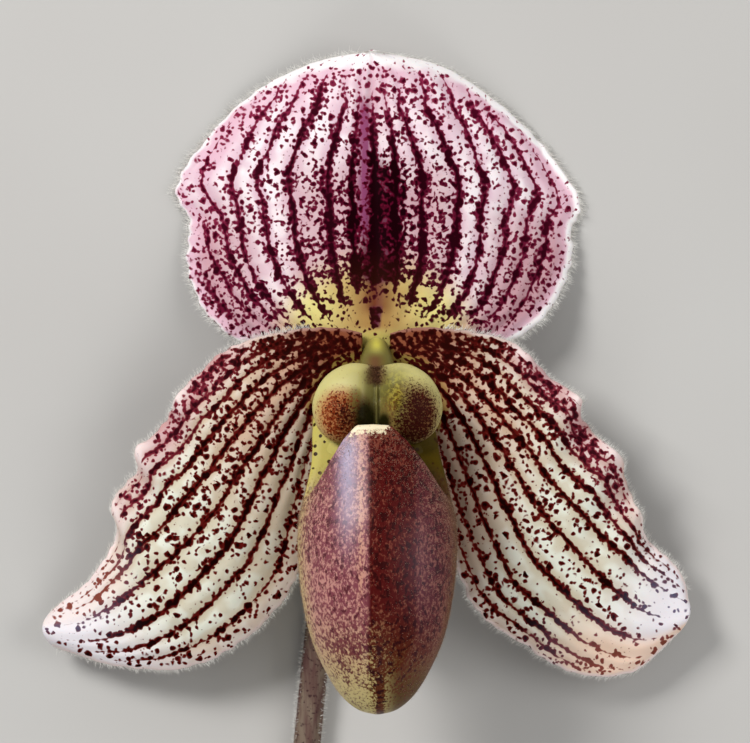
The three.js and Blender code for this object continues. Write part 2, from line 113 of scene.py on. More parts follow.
def ripple(t, seed, waves):
    """A repeatable uneven wave about 0, with up to `waves` waves over t from 0 to 1."""
    draw = np.random.default_rng(seed)
    total = np.zeros_like(t, dtype=float)
    for count in np.linspace(waves / 3, waves, 5):
        total += np.sin(2 * math.pi * (count * t + draw.random())) * draw.uniform(0.4, 1)
    return total / 2


def lumps(points, seed, size):
    """A repeatable soft unevenness about 0 over points, with lumps about `size` mm across."""
    draw = np.random.default_rng(seed)
    total = np.zeros(points.shape[:-1])
    for _ in range(9):
        way = unit(draw.normal(size=3)) * draw.uniform(0.6, 1.5) * math.pi / size
        total += np.sin(points @ way + draw.uniform(0, 2 * math.pi))
    return total / 4


# ---------------------------------------------------------------- meshes
def grid_quads(index):
    """Corner indices of the quads of a grid of point indices."""
    corners = (index[:-1, :-1], index[1:, :-1], index[1:, 1:], index[:-1, 1:])
    return np.stack(corners, -1).reshape(-1, 4)


def outwards(points, faces):
    """The faces, turned so that they face out of the closed skin that they make."""
    a, b, c = (points[faces[:, k]] for k in range(3))
    return faces if (a * np.cross(b, c)).sum() > 0 else faces[:, ::-1]


def make_piece(name, points, faces, material, stands_for=(), traits=None):
    """A smooth mesh piece in metres on the frame's flower. Traits are what its material reads at each point:
    a place, or one number."""
    mesh = bpy.data.meshes.new(name)
    mesh.from_pydata(((points + HEART) * MM).tolist(), [], [f.tolist() for f in faces])
    mesh.shade_smooth()
    mesh.materials.append(material)
    for trait, values in (traits or {}).items():
        values = np.asarray(values, np.float32)
        placed = values.ndim == 2
        layer = mesh.attributes.new(trait, "FLOAT_VECTOR" if placed else "FLOAT", "POINT")
        layer.data.foreach_set("vector" if placed else "value", values.ravel())
    piece = bpy.data.objects.new(name, mesh)
    bpy.context.scene.collection.objects.link(piece)
    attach(piece, "root")
    if stands_for:
        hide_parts(*stands_for)
    return piece


def two_faced(front, back):
    """One closed skin from two grids of points that meet along their borders: points, quads, and a function
    that lays values of the two grids on those points."""
    rows, columns = front.shape[:2]
    inner = np.zeros((rows, columns), bool)
    inner[1:-1, 1:-1] = True
    index = np.arange(rows * columns).reshape(rows, columns)
    under = index.copy()
    under[inner] = rows * columns + np.arange(inner.sum())

    def lay(front_values, back_values):
        all_front = front_values.reshape(rows * columns, *front_values.shape[2:])
        return np.concatenate([all_front, back_values[inner]])

    points = lay(front, back)
    faces = np.concatenate([grid_quads(index), grid_quads(under)[:, ::-1]])
    return points, outwards(points, faces), lay


def round_grid(steps, sides, end=0.0):
    """Share along and angle round for the rings of a round piece, which stop a share `end` short of its
    ends."""
    turn = np.linspace(0, 2 * math.pi, sides, endpoint=False)
    return np.meshgrid(np.linspace(end, 1 - end, steps), turn, indexing="ij")


def wrapped(rings):
    """Rings of points joined into one skin that is closed at both ends by its end rings' middles."""
    count, sides = rings.shape[:2]
    index = np.arange(count * sides).reshape(count, sides)
    index = np.concatenate([index, index[:, :1]], 1)
    points = np.concatenate([rings.reshape(-1, 3), rings[0].mean(0)[None], rings[-1].mean(0)[None]])
    first, last = count * sides, count * sides + 1
    caps = [[first, b, a] for a, b in zip(index[0], index[0, 1:])]
    caps += [[last, a, b] for a, b in zip(index[-1], index[-1, 1:])]
    return points, grid_quads(index), np.array(caps)


def skin_piece(name, points, quads, caps, material, traits=None):
    """A piece that stands for the frame's node of the same name, from a skin closed by caps."""
    faces = list(outwards(points, quads)) + list(outwards(points, caps))
    return make_piece(name, points, faces, material, [name], traits)


def hair_mesh(roots, ways, lengths, radius, curl, seed, steps=3):
    """Three-sided hairs that taper to a point from `radius`. They start in `ways` and bend aside by `curl` of
    their length."""
    draw = np.random.default_rng(seed)
    count = len(roots)
    ways = unit(ways)
    aside = unit(np.cross(ways, unit(draw.normal(size=(count, 3)))))
    third = np.cross(ways, aside)
    share = np.linspace(0, 1, steps + 1)[None, :, None]
    length = lengths[:, None, None]
    spine = roots[:, None] + length * (ways[:, None] * share + curl * aside[:, None] * share**2)
    taper = 0.75
    corners = []
    for k in range(3):
        a = 2 * math.pi * k / 3
        arm = aside * math.cos(a) + third * math.sin(a)
        corners.append(spine[:, :-1] + arm[:, None] * radius * (1 - taper * share[:, :-1]))
    rings = np.stack(corners, 2)
    points = np.concatenate([rings.reshape(count, -1, 3), spine[:, -1:]], 1)
    faces = []
    for s in range(steps - 1):
        for k in range(3):
            a, b = 3 * s + k, 3 * s + (k + 1) % 3
            faces += [[a, b, b + 3], [a, b + 3, a + 3]]
    tip = 3 * steps
    faces += [[tip - 3 + k, tip - 3 + (k + 1) % 3, tip] for k in range(3)] + [[2, 1, 0]]
    faces = np.array(faces)[None] + (np.arange(count) * (tip + 1))[:, None, None]
    return points.reshape(-1, 3), faces.reshape(-1, 3)


def above_floor(points):
    """The points of hairs, with none of them in the floor."""
    points[:, 2] = np.maximum(points[:, 2], HAIR_CLEAR - HEART[2])
    return points


# ---------------------------------------------------------------- sepals and petals
# A blade lies between two margins that run from base to tip along its midrib. u goes across it from -1 to 1
# and v along it from 0 to 1. STRIPE_ROWS are the v at which each blade's stripes give their u; half is half a
# stripe's width in mm. Crinkle is how far its margin wanders, in mm, and how many waves it has. Cells are the
# steps of its mesh across and along.
STRIPE_ROWS = (0.2, 0.35, 0.5, 0.65, 0.8, 0.92)


def dorsal_depth(u, v):
    """It leans back, and its shoulders curl down until they lie flat on the floor."""
    lean, curl, fold, ruffle = 5.2, 8.6, 0.5, 0.45
    depth = SEPAL_FACE - lean * smooth(0.02, 1.1, v)
    depth = depth - curl * np.abs(u) ** 2.3 * np.sin(math.pi * v**1.2) ** 0.9
    depth = depth - fold * bell(u, 0.06) * smooth(0.1, 0.3, v) * (1 - smooth(0.8, 1, v))
    depth = depth + ruffle * u**4 * smooth(0.05, 0.3, v) * np.sin(2 * math.pi * (4 * v + 0.2))
    return np.maximum(depth, BLADE - HEART[2])


DORSAL = {
    "low": [(-1.6, -0.6), (-9.4, -1.0), (-16.9, 0.4), (-21.7, 4.6), (-23.8, 10.4), (-23.5, 15.6),
            (-25.2, 20.0), (-21.3, 26.2), (-15.4, 31.9), (-8.1, 35.6), (-1.0, 37.0)],
    "high": [(1.9, -0.6), (10.0, -1.0), (17.4, 0.6), (22.2, 4.6), (24.9, 10.6), (24.9, 14.6),
             (26.0, 18.2), (22.0, 24.4), (16.4, 30.0), (8.8, 35.1), (0.4, 37.0)],
    "midrib": [(0.1, -0.6), (0, 1.5), (-0.1, 4.7), (-0.2, 8.7), (-0.3, 13.0), (-0.4, 17.3),
               (-0.4, 21.7), (-0.4, 26.1), (-0.4, 30.4), (-0.4, 34.2), (-0.3, 37.2)],
    "depth": dorsal_depth,
    "stripes": [
        # u at each of STRIPE_ROWS, half
        ((-0.78, -0.82, -0.93, -1.05, -1.12, -1.6), 0.46),
        ((-0.69, -0.735, -0.81, -0.89, -0.95, -1.35), 0.50),
        ((-0.63, -0.665, -0.72, -0.70, -0.79, -1.1), 0.50),
        ((-0.49, -0.525, -0.58, -0.565, -0.62, -0.9), 0.48),
        ((-0.37, -0.39, -0.42, -0.41, -0.42, -0.68), 0.58),
        ((-0.20, -0.21, -0.22, -0.21, -0.20, -0.38), 0.62),
        ((-0.10, -0.10, -0.10, -0.10, -0.10, -0.15), 0.52),
        ((0.01, 0.02, 0.02, 0.01, 0.01, 0.0), 0.62),
        ((0.13, 0.13, 0.12, 0.12, 0.11, 0.15), 0.52),
        ((0.24, 0.25, 0.255, 0.24, 0.20, 0.38), 0.60),
        ((0.39, 0.41, 0.44, 0.41, 0.415, 0.66), 0.62),
        ((0.54, 0.54, 0.55, 0.545, 0.62, 0.92), 0.55),
        ((0.67, 0.65, 0.68, 0.69, 0.76, 1.12), 0.52),
        ((0.76, 0.75, 0.78, 0.80, 0.86, 1.35), 0.50),
        ((0.86, 0.85, 0.875, 0.90, 0.96, 1.55), 0.46),
        ((0.96, 0.95, 0.97, 1.0, 1.06, 1.8), 0.40),
    ],
    "crinkle": (0.16, 34),
    "cells": (116, 150),
    "seed": 11,
}


def synsepal_depth(u, v):
    """It leans back, and its sides turn up a little towards the pouch."""
    lean, cup = 3.4, 1.5
    return SEPAL_FACE - lean * smooth(-0.1, 1.1, v) + cup * u * u * v


SYNSEPAL = {
    "low": [(1.7, -1.3), (4.9, -6.0), (6.9, -12.0), (7.5, -18.5), (6.9, -25.0), (4.8, -31.0), (1.0, -35.8)],
    "high": [(-1.5, -1.3), (-4.5, -6.0), (-6.5, -12.0), (-7.1, -18.5), (-6.5, -25.0), (-4.4, -31.0),
             (-0.6, -35.8)],
    "midrib": [(0.1, -1.3), (0.2, -6.4), (0.2, -12.6), (0.2, -19.2), (0.2, -25.9), (0.2, -31.9),
               (0.2, -36.2)],
    "depth": synsepal_depth,
    "stripes": [((u,) * len(STRIPE_ROWS), 0.22) for u in (-0.8, -0.5, -0.25, 0.0, 0.25, 0.5, 0.8)],
    "crinkle": (0.1, 20),
    "cells": (44, 90),
    "seed": 12,
}


RUFFLE = 0.15  # the v from one crest of a petal's ruffled margin to the next
LEFT_CREST, RIGHT_CREST = 0.4, 0.435


def petal_depth(outer, crest):
    """It spreads level, then droops. `outer` is the u of its ruffled margin, and `crest` the v of one of the
    crests there."""
    rise, droop, arch, wave = 1.3, 7.6, 1.9, 1.35

    def depth(u, v):
        spread = PETAL_FACE + rise * np.sin(math.pi * np.clip(v / 0.75, 0, 1))
        spread = spread - droop * smooth(0.35, 1.15, v) - arch * u * u * smooth(0.03, 0.35, v)
        ruffled = smooth(0.24, 0.42, v) * (1 - smooth(0.76, 0.92, v))
        lift = wave * np.maximum(0, outer * u) ** 2.5 * np.cos(2 * math.pi * (v - crest) / RUFFLE)
        return spread + lift * ruffled

    return depth


PETAL_LEFT = {
    "high": [(-1.6, 1.5), (-4.2, 2.1), (-7.0, 2.2), (-10.2, 1.9), (-13.4, 1.3), (-16.5, 0.4), (-19.4, -1.1),
             (-21.9, -3.3), (-24.9, -6.5), (-25.7, -8.6), (-27.3, -10.8), (-30.0, -13.0), (-29.9, -15.7),
             (-31.9, -18.0), (-33.2, -20.3), (-32.5, -22.9), (-33.3, -25.6), (-34.9, -28.1), (-37.2, -30.7),
             (-39.6, -32.4), (-41.2, -33.9)],
    "low": [(-1.3, -1.7), (-3.3, -4.7), (-5.2, -8.9), (-6.7, -14.3), (-8.2, -21.0), (-9.7, -28.7),
            (-13.3, -34.2), (-18.8, -38.6), (-25.0, -40.8), (-33.2, -40.3), (-40.6, -38.0)],
    "midrib": [(-1.5, -0.1), (-5.4, -1.4), (-9.7, -4.2), (-13.6, -8.4), (-17.0, -14.0), (-19.7, -20.2),
               (-22.9, -25.3), (-26.7, -29.9), (-30.8, -33.6), (-36.2, -35.9), (-41.9, -35.9)],
    "depth": petal_depth(1, LEFT_CREST),
    "stripes": [
        ((-0.80, -0.80, -0.80, -0.78, -0.76, -0.85), 0.20),
        ((-0.58, -0.63, -0.53, -0.50, -0.52, -0.62), 0.32),
        ((-0.375, -0.365, -0.29, -0.245, -0.23, -0.28), 0.40),
        ((-0.155, -0.15, 0.0, 0.11, 0.25, 0.24), 0.33),
        ((0.09, 0.14, 0.30, 0.41, 0.55, 0.60), 0.34),
        ((0.33, 0.36, 0.50, 0.625, 0.70, 0.80), 0.30),
        ((0.56, 0.55, 0.69, 0.80, 0.87, 0.95), 0.28),
        ((0.75, 0.72, 0.85, 0.93, 0.98, 1.1), 0.26),
    ],
    "crinkle": (0.14, 34),
    "cells": (80, 170),
    "seed": 13,
}

PETAL_RIGHT = {
    "low": [(1.9, 1.5), (4.5, 2.1), (7.4, 2.2), (10.5, 1.9), (13.5, 1.4), (16.6, 0.6), (19.0, -0.9),
            (21.3, -3.5), (24.2, -5.5), (25.9, -6.9), (25.9, -9.1), (28.1, -11.6), (30.9, -14.0),
            (31.4, -16.4), (32.3, -19.1), (33.6, -21.4), (33.9, -23.6), (35.7, -25.8), (37.8, -27.6),
            (39.1, -29.9), (39.5, -32.0)],
    "high": [(1.6, -1.7), (3.7, -4.7), (5.7, -8.9), (7.3, -14.3), (8.8, -21.0), (10.4, -28.4), (13.2, -33.8),
             (18.6, -37.6), (24.8, -41.2), (32.2, -41.3), (38.0, -36.6)],
    "midrib": [(1.8, -0.1), (5.8, -1.4), (9.9, -4.0), (13.7, -7.9), (16.9, -12.9), (19.5, -18.8),
               (22.3, -24.3), (25.9, -29.0), (30.2, -33.0), (35.0, -35.0), (39.6, -34.2)],
    "depth": petal_depth(-1, RIGHT_CREST),
    "stripes": [
        ((-0.90, -0.90, -0.95, -1.00, -1.05, -1.1), 0.24),
        ((-0.72, -0.74, -0.81, -0.90, -0.97, -1.0), 0.26),
        ((-0.515, -0.515, -0.66, -0.77, -0.86, -0.9), 0.30),
        ((-0.31, -0.32, -0.46, -0.625, -0.74, -0.78), 0.32),
        ((-0.08, -0.11, -0.26, -0.42, -0.585, -0.58), 0.34),
        ((0.155, 0.14, 0.0, -0.13, -0.19, -0.12), 0.33),
        ((0.36, 0.37, 0.30, 0.25, 0.265, 0.33), 0.38),
        ((0.64, 0.64, 0.56, 0.54, 0.56, 0.68), 0.34),
        ((0.86, 0.86, 0.75, 0.73, 0.78, 0.92), 0.26),
        ((1.00, 0.97, 0.89, 0.85, 0.90, 1.05), 0.22),
    ],
    "crinkle": (0.14, 34),
    "cells": (80, 170),
    "seed": 14,
}


def blade_points(blade, u, v):
    """Points of a blade's front face, as the frame has it but for the crinkle of its margins."""
    low, high, midrib = (spline(blade[key], v) for key in ("low", "high", "midrib"))
    sag = u[..., None]
    flat = midrib + sag * (high - low) / 2 + sag**2 * ((high + low) / 2 - midrib)
    size, waves = blade["crinkle"]
    held = size * np.sin(math.pi * np.clip(v, 0, 1)) ** 0.5
    near = np.abs(u) ** 6 * held
    one_side, other_side = (ripple(v, blade["seed"] + more, waves) for more in (0, 50))
    sideways = np.where(u > 0, one_side, other_side) * near
    flat = flat + sideways[..., None] * unit(high - low)
    depth = blade["depth"](u, v) + 0.8 * near * ripple(v, blade["seed"] + 70, waves)
    return np.concatenate([flat, depth[..., None]], -1)


def blade_margin(blade, steps=420):
    """The margin from base to tip and back again, with the way out of the blade at each of its points."""
    v = np.linspace(0, 1, steps)
    sides = []
    for edge in (-1, 1):
        at = blade_points(blade, np.full(steps, float(edge)), v)
        within = blade_points(blade, np.full(steps, edge * 0.96), v)
        sides.append((at, unit(at - within)))
    line = np.concatenate([sides[0][0], sides[1][0][::-1]])
    away = np.concatenate([sides[0][1], sides[1][1][::-1]])
    return line, away


def stripe_traits(blade, u, v, across_mm):
    """At each point: the running number of the stripe (a whole number on its middle), the room between two
    stripes in mm, and half the stripe's width in mm."""
    rows = np.array([row for row, _ in blade["stripes"]])
    halves = np.array([half for _, half in blade["stripes"]])
    number, gap, half = (np.empty_like(u) for _ in range(3))
    whole = np.arange(len(rows), dtype=float)
    for j in range(v.shape[1]):
        tracks = [np.interp(v[0, j], STRIPE_ROWS, row) for row in rows]
        steps = np.diff(tracks)
        tracks = np.concatenate([[tracks[0] - steps[0]], tracks, [tracks[-1] + steps[-1]]])
        number[:, j] = np.interp(u[:, j], tracks, np.arange(-1, len(rows) + 1))
        gap[:, j] = np.interp(u[:, j], (tracks[1:] + tracks[:-1]) / 2, np.diff(tracks))
        half[:, j] = np.interp(number[:, j], whole, halves)
    return number, gap * across_mm, half


def distance_from_margin(blade, face, batch=40):
    """How far each point of a blade lies from its margin in mm, as seen from the front."""
    line, _ = blade_margin(blade)
    nearest = np.full(face.shape[:2], np.inf)
    for start in range(0, len(line), batch):
        part = line[None, None, start : start + batch, :2]
        nearest = np.minimum(nearest, np.linalg.norm(face[:, :, None, :2] - part, axis=-1).min(-1))
    return nearest


def blade_piece(name, blade, material, zones):
    """A sepal or petal: thin flesh that is raised between its veins, uneven, and rounded at its margin."""
    vein_depth, unevenness, lump_size = 0.13, 0.16, 4.0
    across, along = blade["cells"]
    s = np.linspace(-1, 1, across + 1)
    closer_at_margins = 0.4 * s + 0.6 * np.sin(s * math.pi / 2)
    u, v = np.meshgrid(closer_at_margins, np.linspace(0, 1, along + 1), indexing="ij")
    face = blade_points(blade, u, v)
    from_margin = distance_from_margin(blade, face)
    across_mm = np.linalg.norm(np.gradient(face, axis=0), axis=-1) / np.gradient(u, axis=0)
    number, gap, half = stripe_traits(blade, u, v, across_mm)
    body = smooth(0.1, 0.25, v) * (1 - smooth(0.85, 1, v)) * smooth(0, 2.5, from_margin)
    relief = -vein_depth * np.cos(2 * math.pi * number) * body
    relief = relief + unevenness * lumps(face, blade["seed"], lump_size) * body
    inset = np.clip(from_margin / MARGIN_ROUND, 0, 1)
    thick = FLESH * np.sqrt(1 - (1 - inset) ** 2)
    border = np.ones_like(u, bool)
    border[1:-1, 1:-1] = False
    thick[border] = 0
    middle = face.copy()
    middle[..., 2] += relief - BLADE / 2
    up = np.array([0, 0, 0.5])
    points, faces, lay = two_faced(middle + thick[..., None] * up, middle - thick[..., None] * up)
    traits = {"flow": face, "number": number, "gap": gap, "half": half}
    traits.update(zones(u, v, from_margin, face))
    return make_piece(
        name, points, faces, material, [name],
        {trait: lay(values, values) for trait, values in traits.items()},
    )


# The zones of a blade say what colours it at each place. For its ground they are how far each shade shows.
# For its marks, scatter is how many spots there are, cover how much of it is mottled, solid how full its
# stripes are, tone how far the sap turns to the red of the margins, and fade how far it thins. A blade leaves
# out the zones that it has nowhere.
def dorsal_zones(u, v, from_margin, face):
    x, y = face[..., 0], face[..., 1]
    side = np.abs(u)
    top_end = smooth(0.72, 1.0, v)
    # the clear rim is uneven and starts further in on the right, and the pink comes in clouds
    wavy = (from_margin - 0.5 * smooth(10, 19, x)) * (1 + 0.4 * lumps(face, 61, 1.6))
    cloud = 1 + 0.5 * lumps(face, 62, 3.2)

    # the wine-dark heart, the purple strip left of it, and a short dark wedge just above the neck
    heart = bell(x - 0.5, 2.9) * smooth(6.8, 9.0, y) * (1 - smooth(19, 26, y))
    strip = bell(x + 1.35, 0.85) * smooth(11, 16, y) * (1 - smooth(28, 33, y))
    wedge = 1 - smooth(0.3, 0.7, np.abs(x - 0.1) - 0.1 * (y - 2.2))
    wedge = wedge * smooth(1.9, 2.4, y) * (1 - smooth(4.5, 5.1, y))

    # marks crowd on the low flanks and widely round the heart, and leave the ground clear between the two
    low_flank = smooth(0.4, 0.8, side) * (1 - smooth(0.38, 0.65, v)) * (1 + 0.15 * smooth(0, 15, x))
    gloom = (1 - smooth(7.5, 14, np.abs(x + 0.2))) * smooth(5.5, 9, y) * (1 - smooth(18, 27, y))
    middle = bell(x - 0.4, 8) * bell(v - 0.5, 0.27)
    clear = bell(side - 0.45, 0.22) * bell(v - 0.55, 0.2)
    scatter = 0.9 + 0.3 * low_flank + 0.5 * middle + 0.5 * gloom + 0.5 * smooth(0.6, 0.9, v) - 0.3 * clear
    scatter = scatter * smooth(0.1 + 0.9 * top_end, 0.9 + 1.6 * top_end, wavy) * (1 - 0.5 * strip)
    cover = 0.14 + 0.22 * low_flank * smooth(0, 2, from_margin) + 0.12 * middle + 0.34 * gloom
    cover = (cover + 0.6 * heart) * (1 - 0.6 * strip)

    # stripes start later in the middle, are boldest round the heart and end short of the tip
    foot = 2.0 + 4.1 * bell(x - 0.3, 4.5)
    bold = bell(x - 0.4, 13) * smooth(6, 11, y) * (1 - smooth(17, 29, y))
    solid = smooth(foot, foot + 2.4, y) * smooth(0.2, 3, from_margin) * (1 + 0.25 * bold)
    solid = solid * (1 - smooth(0.7 + 0.18 * side, 0.86 + 0.16 * side, v)) * (1 + 0.3 * heart)

    blush = np.maximum(1 - smooth(0.5, 6, from_margin), 0.42 * smooth(0.6, 0.85, v))
    dusk_top = 0.28 * bell(x + 0.4, 2.6) * smooth(20, 27, y) * (1 - smooth(32, 35.5, y))
    dusk = np.maximum(0.7 * low_flank * smooth(0.4, 2.6, from_margin), np.maximum(dusk_top, 0.65 * gloom))
    red = 0.2 + 0.6 * smooth(0.35, 0.9, side) * smooth(0.25, 0.6, v) + 0.6 * smooth(0.65, 0.9, v)
    return {
        "blush": np.clip(cloud * blush, 0, 0.9),
        "dusk": dusk,
        "base": 1 - smooth(0.6, 1.05, np.hypot(x / 14, y / 13)),
        "amber": 0.9 * bell(x, 5.2) * smooth(0.8, 2.6, y) * (1 - smooth(6, 10.5, y)),
        "lemon": 0.75 * bell(np.abs(x) - 7.5, 3) * bell(y - 4.5, 2.6),
        "rust": 0.95 * bell(x - 0.1, 1.7) * smooth(3.2, 5, y) * (1 - smooth(9, 11, y)),
        "neck": bell(x, 2.8) * (1 - smooth(0.9, 2.4, y)),
        "strip": 0.97 * smooth(0, 0.75, strip),
        "heart": 0.97 * np.maximum(smooth(0.1, 0.75, heart * (1 - 0.7 * strip)), wedge),
        "rim": 1 - smooth(0.05 + 0.55 * top_end, 0.5 + 2.4 * top_end, wavy),
        "scatter": scatter * (1 - 0.6 * bell(x, 3.5) * (1 - smooth(4, 8, y))),
        "cover": np.maximum(cover, wedge),
        "solid": solid,
        "tone": np.clip(red - heart, 0, 1),
    }


def synsepal_zones(u, v, from_margin, face):
    """Hidden behind the lip, it has the dorsal sepal's shades and stripes, but all of them paler."""
    plain = np.ones_like(u)
    return {
        "blush": 0.2 * plain,
        "base": 1 - smooth(0.3, 0.8, v),
        "lemon": 0.3 * plain,
        "rim": 1 - smooth(0.1, 0.9, from_margin),
        "scatter": 0.3 * plain,
        "solid": 0.6 * smooth(0.1, 0.3, v),
        "tone": 0.3 * plain,
    }


def beyond_shield(face):
    """How far, seen from the front, a place lies outside the shield's two round lobes."""
    lobe, apart, middle = 4.6, 3.6, np.array([0.3, -7.0])
    across, up = np.moveaxis(face[..., :2] - middle, -1, 0)
    return np.hypot(np.maximum(np.abs(across) - apart, 0), up) - lobe


def petal_zones(outer, crest, warm_side, peach, shade, red_to):
    """`outer` and `crest` are those of petal_depth(). The warm side, 1 for out and -1 for in, is where the
    tip's marks are orange brown; the others turn lilac. Peach is how far the ground there turns peach, shade
    how dark the inner side is, partly a brown tint and partly painted shadow of the pouch, and red_to the v
    to which the ruffled side is heavily dyed."""

    def zones(u, v, from_margin, face):
        x, y = face[..., 0], face[..., 1]
        out = outer * u
        ruffled = smooth(0.5, 0.9, out) * smooth(0.2, 0.3, v) * (1 - smooth(0.66, 0.8, v))
        # painted highlight on the ruffle's crests: there the rim is wider and paler and the marks thin out
        crest_highlight = ruffled * (0.5 + 0.5 * np.cos(2 * math.pi * (v - crest) / RUFFLE)) ** 2
        warm = smooth(0.1, 0.5, warm_side * out) * smooth(0.66, 0.84, v)

        # ground: a pale rim, widened on the crests as a painted highlight, pink ruffles, and a brown inner
        # side that is partly painted shadow of the pouch
        rim = (1 - smooth(0.05, 0.6, from_margin)) * (0.1 + 0.9 * smooth(0.05, 0.35, v)) * (1 - ruffled)
        rim = np.maximum(rim, crest_highlight * (1 - smooth(0.4, 1.8, from_margin)))
        blush = np.maximum(ruffled, 0.6 * (1 - smooth(0.3, 4, from_margin)) * smooth(0.35, 0.6, v))
        # painted shadow of the pouch, with some brown tint of its own, on the inner side
        inner = shade * (1 - smooth(-0.8, 0.0, out)) * smooth(0.16, 0.3, v)
        dusk = inner * (1 - 0.9 * smooth(0.45, 0.65, v)) * (1 - smooth(0.86, 0.94, v))
        tan = bell(out - 0.1, 0.6) * smooth(0.1, 0.2, v) * (1 - smooth(0.3, 0.58, v))

        # an olive band that follows the shield's outline, and olive round the column's foot
        band = 0.9 + 0.9 * bell(x - 0.2, 3.2)
        green = (1 - smooth(band - 0.3, band + 0.5, beyond_shield(face))) * (1 - smooth(0.3, 0.46, v))
        green = np.maximum(green, 1 - smooth(1.9, 2.5, np.hypot(x - 0.2, y + 1.2)))

        # marks crowd at the base and on the ruffled side
        outer_cover = 0.76 * smooth(0.5, 0.8, out) * (1 - smooth(red_to, red_to + 0.26, v))
        middle_cover = 0.4 * smooth(-0.7, 0.1, out) * (1 - smooth(0.38, 0.62, v))
        cover = np.maximum(np.maximum(0.78 * (1 - smooth(0.14, 0.37, v)), outer_cover), middle_cover)
        cover = cover * (1 - 0.85 * green) * smooth(0, 0.5 + 0.8 * crest_highlight, from_margin)
        crowd = np.maximum(1 - smooth(0.3, 0.6, v), smooth(0.45, 0.8, out) * (1 - smooth(0.6, 0.8, v)))
        along_margin = (0.4 + 0.5 * smooth(0.5, 0.7, v)) * (1 - smooth(0.5, 4.5, from_margin))
        scatter = 0.6 + 0.6 * crowd + along_margin + 0.8 * bell(out - 0.1, 0.35) * bell(v - 0.56, 0.22)
        scatter = scatter * (1 - 0.45 * smooth(0.75, 0.95, v)) * smooth(0.05, 0.7, from_margin)

        fade = np.maximum(0.7 * warm, 0.85 * smooth(0.76, 0.92, v) * bell(out - 0.35, 0.4))
        solid = smooth(0.02, 0.15, v) * (1 - smooth(0.8, 0.97, v)) * smooth(0.1, 1.5, from_margin)
        red = 0.9 * smooth(0.45, 0.85, out) * smooth(0.2, 0.38, v) * (1 - smooth(0.66, 0.8, v))
        return {
            "blush": (0.75 - 0.25 * smooth(0.48, 0.62, v)) * blush,
            "dusk": dusk,
            "tip": smooth(0.7, 0.93, v),
            "base": 1 - smooth(0.1, 0.32, v),
            "green": green,
            "tan": 0.6 * tan,
            "peach": peach * warm,
            "rim": rim,
            "scatter": scatter * (1 - crest_highlight),
            "cover": cover,
            "solid": solid * (1 - 0.45 * fade),
            "tone": np.maximum(red, warm),
            "fade": fade,
        }

    return zones


def fringe(name, blade, material, spacing, length, start):
    """Hairs along a blade's margin, from share `start` of it on both sides."""
    radius, curl, sunk = 0.034, 0.18, (0.1, 0.5)
    draw = np.random.default_rng(blade["seed"] + 100)
    line, away = blade_margin(blade)
    line = line - np.array([0, 0, BLADE / 2])
    run = np.concatenate([[0], np.linalg.norm(np.diff(line, axis=0), axis=1).cumsum()])
    count = int(run[-1] * (1 - 2 * start) / spacing)
    at = run[-1] * (start + (1 - 2 * start) * (np.arange(count) + draw.random(count)) / count)
    roots = np.stack([np.interp(at, run, line[:, k]) for k in range(3)], -1)
    ways = unit(np.stack([np.interp(at, run, away[:, k]) for k in range(3)], -1))
    along = unit(np.stack([np.interp(at + 0.3, run, line[:, k]) for k in range(3)], -1) - roots)
    roots = roots - ways * draw.uniform(*sunk, (count, 1))
    # most hairs lean towards the tip, and they spread up and down
    lean = draw.normal(0, 0.32, (count, 1)) + 0.25
    lift = draw.normal(0.15, 0.4, (count, 1)) * np.array([0, 0, 1])
    lengths = length * draw.uniform(0.55, 1.15, count)
    ways = ways + along * lean + lift
    points, faces = hair_mesh(roots, ways, lengths, radius, curl, blade["seed"] + 200)
    return make_piece(name, above_floor(points), faces, material)


# ---------------------------------------------------------------- lip
# Level rings stacked from the toe up. Each has a half width in x, and reaches from back to front in z.
POUCH_POINTED = 1.75  # below 2 the front of each ring comes to a soft keel
POUCH_BENT = 0.7  # how far its mouth is bent towards -X
POUCH_INSIDE = np.array([POUCH_X, -24.0, 9.0])  # a point well inside it
POUCH_STATIONS = [
    # y, half width, front, back
    (-45.9, 0, 7.6, 7.6),
    (-45.2, 2.5, 10.2, 5.4),
    (-43.1, 4.8, 12.8, 3.9),
    (-39.5, 6.9, 15.6, 3.0),
    (-35.7, 8.4, 17.4, 2.5),
    (-31.1, 9.35, 18.6, 2.2),
    (-26.6, 9.8, 19.0, 2.0),
    (-22.0, 9.75, 18.6, 1.8),
    (-18.0, 8.85, 17.4, 1.7),
    (-14.0, 8.05, 15.9, 1.6),
    (-10.0, 7.8, 14.2, 1.5),
    (-6.2, 6.9, 12.4, 1.2),
    (-3.6, 3.8, 9.6, 0.4),
]
# The mouth's rim: angle round the pouch from its front, and the station that the wall rises to there.
RIM_ANGLES = (0, 16, 30, 45, 60, 75, 88, 97, 106, 122, 150, 180)
RIM_STATIONS = (9.98, 9.95, 9.5, 8.9, 8.15, 7.65, 7.7, 8.7, 10.3, 11.3, 11.85, 12)


def pouch_point(angle, share):
    """A point of the pouch's outside: angle in degrees round from its front, share 0 at the toe and 1 at the
    rim."""
    around = np.abs(angle)
    rim = np.interp(around, RIM_ANGLES, RIM_STATIONS)
    along = rim * np.sin(share * math.pi / 2) / (len(POUCH_STATIONS) - 1)
    y, half, front, back = np.moveaxis(spline(POUCH_STATIONS, along), -1, 0)
    side = np.sin(np.radians(angle))
    power = np.where(around < 90, POUCH_POINTED, 2.0)
    reach = (1 - np.minimum(np.abs(side), 1) ** power) ** (1 / power) * np.where(around < 90, 1, -1)
    x = POUCH_X - POUCH_BENT * smooth(-17, -6, y) + half * side
    return np.stack([x, y, (front + back) / 2 + (front - back) / 2 * reach], -1)


